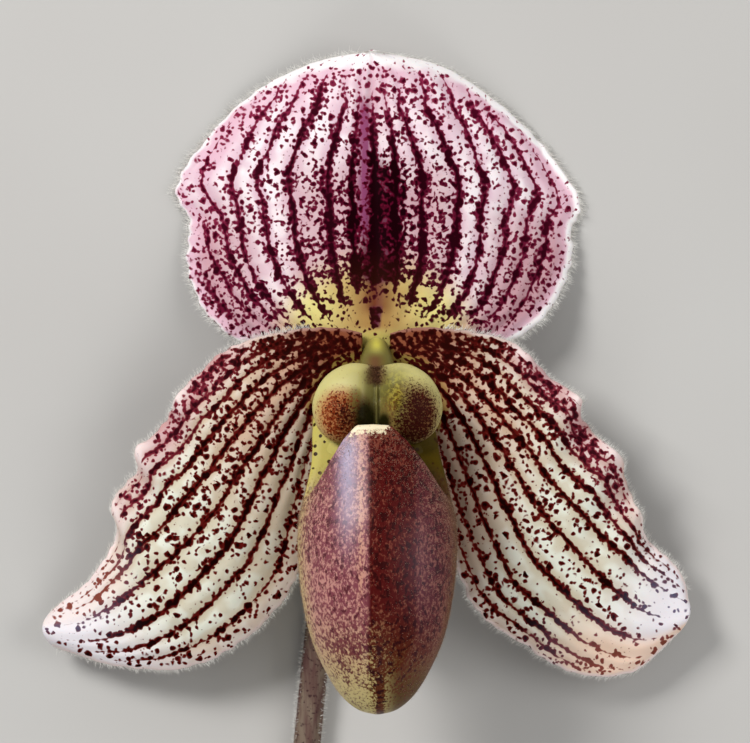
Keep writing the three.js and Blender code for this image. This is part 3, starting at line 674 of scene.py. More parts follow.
def pouch_piece(material):
    """The lip: its skin runs up the outside from the toe, rolls over the rim and runs down the inside."""
    sides, steps, roll = 144, 84, 6
    infold, infold_angle, infold_spread = 4.0, 101, 15  # mm, and degrees round from the front
    angle = -180 + 360 * np.arange(sides + 1) / sides
    # the first ring is very small, so that the toe closes in a round
    share = np.concatenate([[0.012], np.linspace(0.03, 1, steps)])
    a, s = np.meshgrid(angle, share, indexing="ij")
    outside = pouch_point(a, s)
    # its first and last columns are the same line down its back
    around = np.gradient(outside, axis=0)
    around[[0, -1]] = (outside[1] - outside[-2])[None]
    normal = unit(np.cross(np.gradient(outside, axis=1), around))
    normal *= np.sign(((outside - POUCH_INSIDE) * normal).sum(-1).mean())
    # the side walls fold inwards at their rims
    wall = POUCH_WALL + infold * bell(np.abs(a) - infold_angle, infold_spread) * smooth(0.7, 1, s)
    wall = wall[..., None]
    inside = outside - normal * wall
    # the rim rolls over in a half circle as wide as the wall
    rise = unit(outside[:, -1] - outside[:, -2])
    centre = (outside[:, -1] + inside[:, -1]) / 2
    rolled = []
    for k in range(1, roll):
        turn = math.pi * k / roll
        rolled.append(centre + wall[:, -1] / 2 * (normal[:, -1] * math.cos(turn) + rise * math.sin(turn)))
    skin = np.concatenate([outside, np.stack(rolled, 1), inside[:, ::-1]], 1)[:-1]
    rings = np.moveaxis(skin, 0, 1)
    points, quads, caps = wrapped(rings)
    is_outside = np.ones(rings.shape[:2])
    is_outside[steps + roll :] = 0
    up_and_down = np.concatenate([share, np.ones(roll - 1), share[::-1]])[:, None]
    dyes = pouch_dyes(rings, np.abs(angle[:-1])[None], up_and_down, is_outside)
    traits = {key: np.concatenate([dye.ravel(), dye[0, :1], dye[-1, :1]]) for key, dye in dyes.items()}
    traits["flow"] = points
    return skin_piece("pouch", points, quads, caps, material, traits)


def pouch_down(material):
    """Down too short and fine to see but along the pouch's outline, where it makes a soft pale edge."""
    count, radius, curl = 9000, 0.017, 0.2
    share_step, angle_step = 0.01, 1.0
    draw = np.random.default_rng(51)
    angle, share = draw.uniform(-125, 125, count), np.sqrt(draw.uniform(0.02, 0.85, count))
    roots = pouch_point(angle, share)
    along = pouch_point(angle, share + share_step) - pouch_point(angle, share - share_step)
    around = pouch_point(angle + angle_step, share) - pouch_point(angle - angle_step, share)
    away = unit(np.cross(along, around))
    away *= np.sign(((roots - POUCH_INSIDE) * away).sum(-1, keepdims=True))
    lengths = draw.uniform(0.14, 0.34, count)
    ways = away + draw.normal(0, 0.25, away.shape)
    points, faces = hair_mesh(roots, ways, lengths, radius, curl, 52, 2)
    return make_piece("pouch_down", points, faces, material)


def pouch_dyes(place, around, share, outside):
    """What colours the pouch at each place: cover is how dense the maroon speckle is, deep how dark its red,
    which over the right half is partly painted shade, and peach, lilac, cream and olive how far these
    shades show there; the lilac is a painted sheen. Lining is the green of the inside and the side walls,
    and the painted shade how far that green and the toe darken towards the right."""
    x, y = place[..., 0] - POUCH_X, place[..., 1]
    around, share = around + 0 * y, share + 0 * y
    above_toe = smooth(-48, -33, y)
    flank = smooth(50, 84, around)

    # the darkest red is a band down the keel that widens to the right above the toe; it and the darker right
    # half are partly pigment and partly painted shade of the faces turned from the light
    band_end = 0.6 + 3.6 * smooth(-44, -35, y)
    dark = smooth(-1.35, -0.95, x) * (1 - smooth(band_end, band_end + 2.6, x))
    peach = 0.9 * bell(x + 2.05, 0.42) * smooth(-37, -27, y)
    # a painted sheen: lilac light down the upper left flank, and a faint one on the right flank
    lilac = 0.74 * bell(x + 3.8, 1.15) * smooth(-29, -12, y)
    lilac = np.maximum(lilac, 0.05 * bell(x - 5.6, 2.2) * bell(y + 27, 7))

    # the speckle thins on the flanks, in a patch on each side, towards the beak, and beside the toe's middle;
    # the thinning on the right flank stands for a sheen there, a painted highlight
    left_patch = bell(x + 6.5, 2.4) * bell(y + 31, 4.5)
    right_sheen_patch = bell(x - 6.2, 1.8) * bell(y + 29, 6)
    cover = 0.68 + 0.06 * dark + 0.04 * smooth(-2, 3, x) - 0.3 * peach - 0.3 * flank
    cover = cover - 0.18 * left_patch - 0.06 * right_sheen_patch
    cover = cover * (0.4 + 0.6 * above_toe) + 0.8 * (1 - above_toe) * bell(x - 0.3, 0.6)
    cover = cover * (1 - 0.4 * smooth(0.66, 0.84, share) * bell(x - 0.5, 3))
    beak = smooth(0.78, 0.94, share) * (1 - smooth(1.5, 3.7, np.abs(x + 1.1))) * (around < 90)
    return {
        "cover": np.clip(cover, 0, 1),
        # the red deepens over the right half, partly pigment and partly painted shade
        "deep": np.maximum(dark, 0.75 * smooth(-1.3, 1, x)),
        "peach": peach,
        "lilac": lilac * (1 - beak),
        "cream": beak,
        "olive": np.maximum(1 - smooth(-45, -31, y), 0.75 * flank),
        "lining": np.maximum(1 - outside, smooth(84, 96, around)),
        # painted shade that darkens the toe and the green lining towards the right
        "painted_shade": smooth(-0.6, 2.8, x),
    }


# ---------------------------------------------------------------- column and shield
COLUMN_X = 0.2
COLUMN_STATIONS = [
    # y and z of its axis, and its radius there
    (-0.3, SEPAL_FACE + SEAT, 1.15),
    (-0.35, PETAL_FACE + SEAT, 1.2),
    (-0.55, 0.7, 1.5),
    (-0.85, 2.0, 1.6),
    (-1.8, 4.4, 1.95),
    (-3.1, 6.6, 2.1),
    (-4.2, 7.9, 1.7),
]
SHIELD = {"x": 0.3, "y": -7.0, "edge": 9.1, "dome": 3.3, "groove": 0.72, "groove_width": 1.2}
SHIELD_OUTLINE = [
    # x and y from its middle, from the dip between its lobes round by the left one
    (0, 4.3), (-3.4, 4.7), (-6.5, 3.0), (-8.05, -0.3), (-7.2, -3.6), (-4.6, -5.3), (-2.0, -4.6), (0, -3.4),
    (2.0, -4.6), (4.6, -5.3), (7.2, -3.6), (8.05, -0.3), (6.5, 3.0), (3.4, 4.7), (0, 4.3),
]
STIGMA = {"y": -4.98, "z": 5.0, "stalk": 0.65, "disc": 1.8, "drop": 2.4, "thick": 0.9}
ANTHER = {"aside": 3.0, "y": -3.6, "z": 5.4, "across": 0.85, "high": 1.1, "deep": 1.35}


def column_piece(material):
    """The short stout neck that carries the shield, yellow where it leaves the heart. Its olive sides and
    their nearly black foot are painted shade, and the brightest yellow at its top middle is partly a painted
    highlight.
    """
    t, a = round_grid(40, 48)
    y, z, radius = np.moveaxis(spline(COLUMN_STATIONS, t), -1, 0)
    rings = np.stack([COLUMN_X + radius * np.cos(a), y + radius * np.sin(a), z], -1)
    points, quads, caps = wrapped(rings)
    x, y, z = points.T
    traits = {
        "flow": points,
        # painted shade: olive all round but for the top middle
        "olive": 1 - 0.95 * bell(x - COLUMN_X, 0.85) * smooth(-1.6, 0.1, y),
        "brown": 0.9 * bell(x, 1.1) * (1 - smooth(-1.9, -0.7, y)),
        # partly a painted highlight: brightest yellow at the top middle
        "yellow": 0.4 + 0.6 * bell(x - COLUMN_X, 0.9) * bell(y - 0.1, 0.8),
        # painted shade: nearly black low on the sides, where it goes down between the petals
        "foot": 0.6 * smooth(1.0, 1.9, np.abs(x - COLUMN_X)) * (1 - smooth(4, 6, z)),
    }
    return skin_piece("column", points, quads, caps, material, traits)


def shield_front(turn, out):
    """A point of the shield's front: share `turn` round its outline, share `out` from its middle to its
    edge. A thin ridge runs down the groove between its lobes, and its skin is a little uneven."""
    flat = spline(SHIELD_OUTLINE, turn) * out[..., None]
    x, y = flat[..., 0], flat[..., 1]
    hollow = 1 - SHIELD["groove"] * bell(x, SHIELD["groove_width"])
    lift = SHIELD["dome"] * np.sqrt(np.maximum(0, 1 - out**2)) * hollow
    within = 1 - smooth(0.88, 1, out)
    ridge = 0.5 * bell(x + 0.1, 0.2) * (1 - smooth(1.5, 2.6, y)) * within
    front = np.stack([SHIELD["x"] + x, SHIELD["y"] + y, SHIELD["edge"] + lift + ridge], -1)
    front[..., 2] += 0.07 * lumps(front, 31, 1.2) * within
    return front


def shield_tints(place):
    """What colours the shield at each place. Speckle is the red-brown grain of its lobes, and red how deep
    that is, partly its own colour and partly painted shade on the lobes' inner sides and over the right lobe.
    Olive is the ground round the groove, partly painted shade where the lobes turn into it; brown is the
    groove's downy top, foot the painted shade that makes its lower end nearly black, and mottle the mottling
    of yellow and olive beside it."""
    x, y = place[..., 0] - SHIELD["x"], place[..., 1] - SHIELD["y"]
    # each lobe's speckle fades out round its middle, and the right one's reaches further
    right = smooth(-1, 1, x)
    apart, above = np.abs(x + 0.1) - 4.4, y + 1.5
    wide = np.where(apart < 0, 4.4, 3.6 + 0.6 * right)
    high = np.where(above < 0, 4.9 + 0.7 * right, 3.7 + 0.9 * right)
    speckle = 1 - smooth(0.4, 1.2, np.hypot(apart / wide, above / high))
    # the red deepens on each lobe's inner side and over the right lobe: partly its own colour, partly painted
    # shade
    red = bell(np.abs(x + 0.2) - 3.3, 1.7) * bell(y + 1.9, 2.2)
    # olive round the groove: partly its own colour, partly painted shade where the lobes turn into it
    olive = smooth(0.05, 0.9, bell(x + 2.6, 1.2) * bell(y - 0.1, 2.0))
    olive = np.maximum(olive, 0.8 * bell(x, 2.8) * (1 - smooth(3, 5, y)))
    # painted shade: the groove's foot is nearly black on both sides of its ridge
    foot = bell(x + 1.5, 1.5) * bell(y + 2.4, 2.9)
    foot = np.maximum(foot, bell(x - 0.8, 0.8) * (1 - smooth(-2.6, -0.6, y)))
    mottle = bell(x - 2.3, 1.6) * bell(y - 0.4, 2.9)
    return {
        "flow": place,
        "speckle": speckle * (1 - 0.5 * mottle) * (1 - 0.3 * olive),
        "red": np.clip(0.8 * red + 0.9 * smooth(1, 4, x), 0, 1),
        "olive": olive,
        "brown": bell(x + 0.2, 1.0) * smooth(1.6, 2.8, y),
        "foot": 0.96 * smooth(0.04, 0.75, foot) * (1 - 0.5 * bell(x + 0.1, 0.2)),
        "mottle": mottle,
    }


def shield_piece(material):
    """The staminode: a domed front, a rounded rim and a flat back."""
    sides, steps, rim_drops = 168, 44, (0.3, 0.6)
    turn, out = np.meshgrid(np.arange(sides) / sides, np.sin(np.linspace(0.02, 1, steps) * math.pi / 2))
    front = shield_front(turn, out)
    rim = np.stack([front[-1] - np.array([0, 0, drop]) for drop in rim_drops])
    back = front[::-1].copy()
    back[..., 2] = SHIELD_BACK
    points, quads, caps = wrapped(np.concatenate([front, rim, back]))
    return skin_piece("staminode", points, quads, caps, material, shield_tints(points))


def groove_down(material):
    """Short brown hairs that fill the top of the shield's groove."""
    tries, radius, curl = 12000, 0.035, 0.25
    draw = np.random.default_rng(33)
    roots = shield_front(draw.random(tries), np.sqrt(draw.random(tries)))
    x, y = roots[:, 0] - SHIELD["x"], roots[:, 1] - SHIELD["y"]
    roots = roots[bell(x + 0.2, 1.05) * smooth(1.2, 2.8, y) > draw.uniform(0.12, 0.9, tries)]
    ways = draw.normal(0, 0.4, roots.shape) + np.array([0, 0.2, 1])
    lengths = draw.uniform(0.2, 0.5, len(roots))
    points, faces = hair_mesh(roots, ways, lengths, radius, curl, 34, 2)
    return make_piece("groove_down", points, faces, material)


def stigma_piece(material):
    """A cushion with three soft lobes, on a short stalk behind the shield."""
    stalk, disc, drop, thick = (STIGMA[key] for key in ("stalk", "disc", "drop", "thick"))
    profile = [
        # radius, and y from the start of the stalk
        (0.02, 0), (stalk, 0), (stalk * 0.9, -1), (stalk, thick - drop), (disc * 0.8, thick * 0.85 - drop),
        (disc, thick * 0.3 - drop), (disc * 0.75, -drop - 0.1), (0.02, -drop - 0.25),
    ]
    t, a = round_grid(40, 36)
    r, y = np.moveaxis(spline(profile, t), -1, 0)
    r = r * (1 + 0.06 * np.cos(3 * a))
    rings = np.stack([COLUMN_X + r * np.cos(a), STIGMA["y"] + y, STIGMA["z"] + r * np.sin(a)], -1)
    points, quads, caps = wrapped(rings)
    return skin_piece("stigma", points, quads, caps, material)


def anther_piece(name, side, material):
    """A small egg of pollen with a seam down it. Side is 1 for right and -1 for left."""
    t, a = round_grid(24, 28, 0.01)
    seam = 1 - 0.14 * bell(np.sin(a), 0.22) * (np.cos(a) > 0)
    egg = np.stack([
        ANTHER["across"] * np.sin(math.pi * t) * np.cos(a) * seam,
        ANTHER["high"] * np.sin(math.pi * t) * np.sin(a) * seam,
        ANTHER["deep"] * np.cos(math.pi * t),
    ], -1)
    egg = egg * (1 + 0.03 * lumps(egg, 5, 0.6))[..., None]
    middle = np.array([COLUMN_X + side * ANTHER["aside"], ANTHER["y"], ANTHER["z"]])
    points, quads, caps = wrapped(egg + middle)
    return skin_piece(name, points, quads, caps, material)


# ---------------------------------------------------------------- ovary, bract and stem
STEM_TOP, STEM_END = (-6.95, -33.5), (-11.1, -75.0)
STEM_RADIUS, STEM_WAIST = 1.7, 0.06  # waist is the share that it is narrower by at its top
STEM_LIFT = 1.3  # how far its top stands above where it lies on the floor
STEM_REST = STEM_RADIUS - HEART[2]
OVARY_FACE = SEPAL_FACE - BLADE - 1.3 * SEAT
OVARY_PATH = [
    (0.1, -0.8, OVARY_FACE), (0.1, -0.8, OVARY_FACE - 1.6), (-0.1, -2.0, -6.2), (-1.0, -5.6, -8.1),
    (-2.6, -11.5, -9.0), (-4.3, -18.5, -9.4), (-5.6, -25.0, -9.7), (-6.45, -29.5, -9.9),
    (-6.9, STEM_TOP[1] + SEAT, STEM_REST + STEM_LIFT),
]
OVARY = {"radius": 2.25, "swell": 0.15, "taper": 1.05, "ribs": 6, "rib_depth": 0.09}
BRACT = {"from": 0.63, "to": 0.985, "wall": 0.6, "opening": 70, "flare": 0.35, "veins": 9, "relief": 0.04}


def ovary_path(t):
    return spline(OVARY_PATH, t)


def ovary_radius(t, a):
    """It swells a little behind the flower, tapers to the stem, and has low ribs but for its ends."""
    radius = OVARY["radius"] + OVARY["swell"] * smooth(0, 0.15, t) - OVARY["taper"] * smooth(0.35, 0.95, t)
    ribbed = smooth(0.04, 0.2, t) * (1 - smooth(0.75, 1, t))
    return radius * (1 + OVARY["rib_depth"] * ribbed * np.cos(OVARY["ribs"] * a))


def stem_path(t):
    """It comes down from the ovary and then lies along the floor."""
    x, y = (top + (end - top) * t for top, end in zip(STEM_TOP, STEM_END))
    return np.stack([x, y, STEM_REST + STEM_LIFT * (1 - smooth(0, 0.28, t))], -1)


def stem_radius(t, a):
    return STEM_RADIUS * (1 - STEM_WAIST * (1 - smooth(0, 0.15, t))) * (1 + 0.02 * np.cos(5 * a))


def frame_along(path, t):
    """Points of a path, with the way across it and the way up from it."""
    ahead = unit(path(t + 1e-3) - path(t - 1e-3))
    across = unit(np.array([1.0, 0, 0]) - ahead * ahead[..., :1])
    return path(t), across, unit(np.cross(across, ahead))


def stalk_piece(name, path, radius_at, material):
    """The ovary or the stem: a closed tube along its path."""
    t, a = round_grid(120, 72, 1e-3)
    here, across, up = frame_along(path, t)
    way = across * np.cos(a)[..., None] + up * np.sin(a)[..., None]
    points, quads, caps = wrapped(here + way * radius_at(t, a)[..., None])
    return skin_piece(name, points, quads, caps, material, {"flow": points})


def stalk_down(name, path, radius_at, material, count, length, seed):
    """Short hairs that stand out of a stalk, but for its underside, which lies on the floor."""
    radius, curl, sunk = 0.03, 0.25, 0.04
    draw = np.random.default_rng(seed)
    t = draw.uniform(0.005, 0.995, count)
    a = draw.uniform(math.radians(-40), math.radians(220), count)
    here, across, up = frame_along(path, t)
    away = across * np.cos(a)[:, None] + up * np.sin(a)[:, None]
    roots = here + away * (radius_at(t, a)[:, None] - sunk)
    lengths = length * draw.uniform(0.45, 1.1, count)
    ways = away + draw.normal(0, 0.3, away.shape)
    points, faces = hair_mesh(roots, ways, lengths, radius, curl, seed + 1, 2)
    return make_piece(name, above_floor(points), faces, material)


def bract_piece(material):
    """A leaf wrapped round the foot of the ovary but for its underside, narrower towards the flower."""
    share, spread = np.meshgrid(np.linspace(0, 1, 60), np.linspace(-1, 1, 70), indexing="ij")
    t = BRACT["from"] + (BRACT["to"] - BRACT["from"]) * share
    here, across, up = frame_along(ovary_path, t)
    a = np.radians(90 + (180 - BRACT["opening"]) * smooth(-0.25, 0.6, share) * spread)
    way = across * np.cos(a)[..., None] + up * np.sin(a)[..., None]
    inner = ovary_radius(t, 0 * a) * 1.02 + SEAT + BRACT["flare"] * (1 - share)
    veins = BRACT["relief"] * np.cos(2 * math.pi * BRACT["veins"] * spread)
    middle = inner + BRACT["wall"] / 2 + veins
    # its edges thin out in a round
    edge = np.minimum(1 - np.abs(spread), np.minimum(share, 1 - share) * 3)
    half = BRACT["wall"] / 2 * np.sqrt(1 - (1 - np.clip(edge / 0.12, 0, 1)) ** 2)
    half[[0, -1]] = 0
    half[:, [0, -1]] = 0
    outer_face, inner_face = (here + way * (middle + k * half)[..., None] for k in (1, -1))
    points, faces, lay = two_faced(outer_face, inner_face)
    traits = {"flow": points, "spread": lay(spread, spread)}
    return make_piece("bract", points, faces, material, ["bract"], traits)


# ---------------------------------------------------------------- materials
def linear(code):
    """An sRGB hex colour as linear red, green, blue and alpha."""
    parts = [int(code[k : k + 2], 16) / 255 for k in (1, 3, 5)]
    return tuple(c / 12.92 if c <= 0.04045 else ((c + 0.055) / 1.055) ** 2.4 for c in parts) + (1.0,)


def add(tree, kind, *inputs, **named):
    """Adds a node. Names are its settings or its inputs, and the rest fill its inputs in order; a node given
    as an input is linked from its first output. Returns the node."""
    made = tree.nodes.new("ShaderNode" + kind)
    known = {s.name.lower().replace(" ", "_") for s in made.inputs}
    for name, value in named.items():
        if name not in known:
            setattr(made, name, value)
    live = [s for s in made.inputs if s.enabled]
    filled = list(zip(live, inputs))
    filled += [(next(s for s in live if s.name.lower().replace(" ", "_") == name), value)
               for name, value in named.items() if name in known]
    for socket, value in filled:
        if isinstance(value, bpy.types.Node):
            value = next(s for s in value.outputs if s.enabled)
        if isinstance(value, bpy.types.NodeSocket):
            tree.links.new(value, socket)
        elif value is not None:
            socket.default_value = linear(value) if isinstance(value, str) else value
    return made


def new_material(name):
    """An empty material with its shader: the material, its tree and the shader."""
    material = bpy.data.materials.new(name)
    material.use_nodes = True
    tree = material.node_tree
    return material, tree, tree.nodes["Principled BSDF"]


HIDDEN = 0.08  # mm that a mark must grow before it shows


def grains(tree, place, size, cover, soft=0.035):
    """How far a dye shows at each place, in uneven grains about `size` mm across that cover the share `cover`
    of the ground; `soft` is how soft their edges are."""
    grain = add(tree, "TexNoise", place, scale=1 / size, detail=2.0, roughness=0.6)
    level = add(tree, "MapRange", cover, 0.0, 1.0, 0.74, 0.3)
    over = add(tree, "Math", grain.outputs["Fac"], level, operation="SUBTRACT")
    return add(tree, "MapRange", over, -soft, soft, 0.0, 1.0, interpolation_type="SMOOTHSTEP")


def traits_of(tree, *names):
    """What each named trait gives."""
    return [add(tree, "Attribute", attribute_name=name).outputs["Fac"] for name in names]


def spotted_flesh(name, pale, light, shades, marks):
    """Living petal flesh: soft, watery cells under a thin matt skin, so light goes a little way in and blurs.
    The colour is in the cells: a pale ground that changes over the blade, and marks of dark cell sap that run
    together into stripes along the veins and lie as separate blots between them.

    Shades are pairs of a zone and its colour. In marks, drift and ragged are how far edges stray, thin and
    thick the least and greatest width of a stripe as shares of its own, crowd how far beside it the blots
    crowd, and blot_reach their radius there as a share of blot, their spacing. Lengths are in mm."""
    material, tree, shader = new_material(name)
    flow = add(tree, "Attribute", attribute_name="flow").outputs["Vector"]
    number, gap, half = traits_of(tree, "number", "gap", "half")
    scatter, cover, solid, tone = traits_of(tree, "scatter", "cover", "solid", "tone")

    # uneven drift that makes every edge ragged
    drift = add(tree, "TexNoise", flow, noise_dimensions="2D", scale=1 / marks["drift_size"], detail=0.4)
    drift = add(tree, "VectorMath", drift.outputs["Color"], (0.5, 0.5, 0.5), operation="SUBTRACT")
    shift = add(tree, "VectorMath", drift, (marks["drift"],) * 3, operation="MULTIPLY")
    strayed = add(tree, "VectorMath", flow, shift, operation="ADD")

    # how far a point lies from the nearest stripe's middle
    aside = add(tree, "Math", add(tree, "SeparateXYZ", shift), gap, operation="DIVIDE")
    count = add(tree, "Math", number, aside, operation="ADD")
    off = add(tree, "Math", count, add(tree, "Math", count, operation="ROUND"), operation="SUBTRACT")
    off = add(tree, "Math", off, operation="ABSOLUTE")
    away = add(tree, "Math", off, gap, operation="MULTIPLY")

    # the stripe itself, thick in one place and thin or broken in another
    swell = add(tree, "TexNoise", flow, noise_dimensions="2D", scale=1 / marks["swell_size"], detail=1.0)
    swell = add(tree, "MapRange", swell.outputs["Fac"], 0.3, 0.7, marks["thin"], marks["thick"])
    thick = add(tree, "Math", half, swell, operation="MULTIPLY")
    thick = add(tree, "Math", thick, solid, operation="MULTIPLY")
    stripe = add(tree, "Math", thick, away, operation="SUBTRACT")
    stripe = add(tree, "Math", stripe, HIDDEN, operation="SUBTRACT")

    # blots that crowd along the stripe, more in some patches than in others
    patch = add(tree, "TexNoise", flow, noise_dimensions="2D", scale=1 / marks["patch_size"], detail=1.0)
    patch = add(tree, "MapRange", patch.outputs["Fac"], 0.35, 0.65, 0.35, 1.4)
    cells = add(tree, "TexVoronoi", strayed, voronoi_dimensions="2D", scale=1 / marks["blot"])
    reach = add(tree, "Math", half, marks["crowd"], operation="ADD")
    near = add(tree, "Math", away, reach, operation="DIVIDE")
    near = add(tree, "MapRange", near, 0.0, 1.6, marks["blot_reach"], 0.0, interpolation_type="SMOOTHSTEP")
    near = add(tree, "Math", near, solid, operation="MULTIPLY")
    near = add(tree, "Math", near, patch, operation="MULTIPLY")
    blots = add(tree, "Math", near, cells.outputs["Distance"], operation="SUBTRACT")
    blots = add(tree, "Math", blots, marks["blot"], -HIDDEN, operation="MULTIPLY_ADD")
    field = add(tree, "Math", stripe, blots, operation="MAXIMUM")

    # separate spots in two sizes, more of them in the same patches
    chance = add(tree, "Math", scatter, patch, operation="MULTIPLY")
    for size, low, high, share in marks["spots"]:
        spots = add(tree, "TexVoronoi", strayed, voronoi_dimensions="2D", scale=1 / size)
        draw = add(tree, "SeparateColor", spots.outputs["Color"])
        there = add(tree, "Math", chance, share, operation="MULTIPLY")
        there = add(tree, "Math", there, draw.outputs["Red"], operation="SUBTRACT")
        there = add(tree, "MapRange", there, 0.0, 0.12, 0.0, 1.0)
        wide = add(tree, "MapRange", draw.outputs["Green"], 0.0, 1.0, low / size, high / size)
        wide = add(tree, "Math", wide, there, operation="MULTIPLY")
        spot = add(tree, "Math", wide, spots.outputs["Distance"], operation="SUBTRACT")
        spot = add(tree, "Math", spot, size, -HIDDEN, operation="MULTIPLY_ADD")
        field = add(tree, "Math", field, spot, operation="MAXIMUM")

    # mottling that runs together where the sap is thickest
    mottle = add(tree, "TexNoise", strayed, noise_dimensions="2D", scale=1 / marks["mottle"], detail=1.5)
    level = add(tree, "MapRange", cover, 0.0, 1.0, 0.78, 0.28)
    mottle = add(tree, "Math", mottle.outputs["Fac"], level, operation="SUBTRACT")
    mottle = add(tree, "Math", mottle, 2 * marks["mottle"], -HIDDEN, operation="MULTIPLY_ADD")
    field = add(tree, "Math", field, mottle, operation="MAXIMUM")

    # every edge is uneven
    uneven = add(tree, "TexNoise", flow, noise_dimensions="2D", scale=1 / marks["ragged_size"], detail=0.0)
    uneven = add(tree, "Math", uneven.outputs["Fac"], 0.5, operation="SUBTRACT")
    field = add(tree, "Math", uneven, marks["ragged"], field, operation="MULTIPLY_ADD")

    # ground: lightest midway between the veins, where the flesh bulges
    bulge = add(tree, "MapRange", off, 0.1, 0.4, 0.0, 1.0, interpolation_type="SMOOTHSTEP")
    bulge = add(tree, "Math", bulge, patch, operation="MULTIPLY", use_clamp=True)
    ground = add(tree, "Mix", bulge, pale, light, data_type="RGBA")
    for trait, shade in shades:
        (share,) = traits_of(tree, trait)
        ground = add(tree, "Mix", share, ground, shade, data_type="RGBA")

    # marks: nearly black where the sap is thick, redder at their edges and towards the blade's margin, brown
    # at its base, and washed out where they thin
    dense = add(tree, "MapRange", field, 0.0, 0.4, 0.0, 1.0, interpolation_type="SMOOTHSTEP")
    core = add(tree, "Mix", tone, marks["core"], marks["core_margin"], data_type="RGBA")
    edge = add(tree, "Mix", tone, marks["edge"], marks["edge_margin"], data_type="RGBA")
    sap = add(tree, "Mix", dense, edge, core, data_type="RGBA")
    (base,) = traits_of(tree, "base")
    browned = add(tree, "MapRange", base, 0.0, 1.0, 0.0, 0.75)
    sap = add(tree, "Mix", browned, sap, marks["browned"], data_type="RGBA")
    if "thinned" in marks:
        (fade,) = traits_of(tree, "fade")
        thinned = add(tree, "Mix", tone, marks["thinned"], marks["thinned_margin"], data_type="RGBA")
        sap = add(tree, "Mix", fade, sap, thinned, data_type="RGBA")
    shown = add(tree, "MapRange", field, -HIDDEN, HIDDEN, 0.0, 1.0, interpolation_type="SMOOTHSTEP")
    colour = add(tree, "Mix", shown, ground, sap, data_type="RGBA")
    tree.links.new(colour.outputs[2], shader.inputs["Base Color"])
    gloss = add(tree, "MapRange", shown, 0.0, 1.0, 0.12, 0.01)
    tree.links.new(gloss.outputs[0], shader.inputs["Specular IOR Level"])
    shader.inputs["Roughness"].default_value = 0.55
    shader.inputs["Subsurface Weight"].default_value = 0.1
    shader.inputs["Subsurface Radius"].default_value = (1.0, 0.5, 0.35)
    shader.inputs["Subsurface Scale"].default_value = 0.6 * MM
    return material


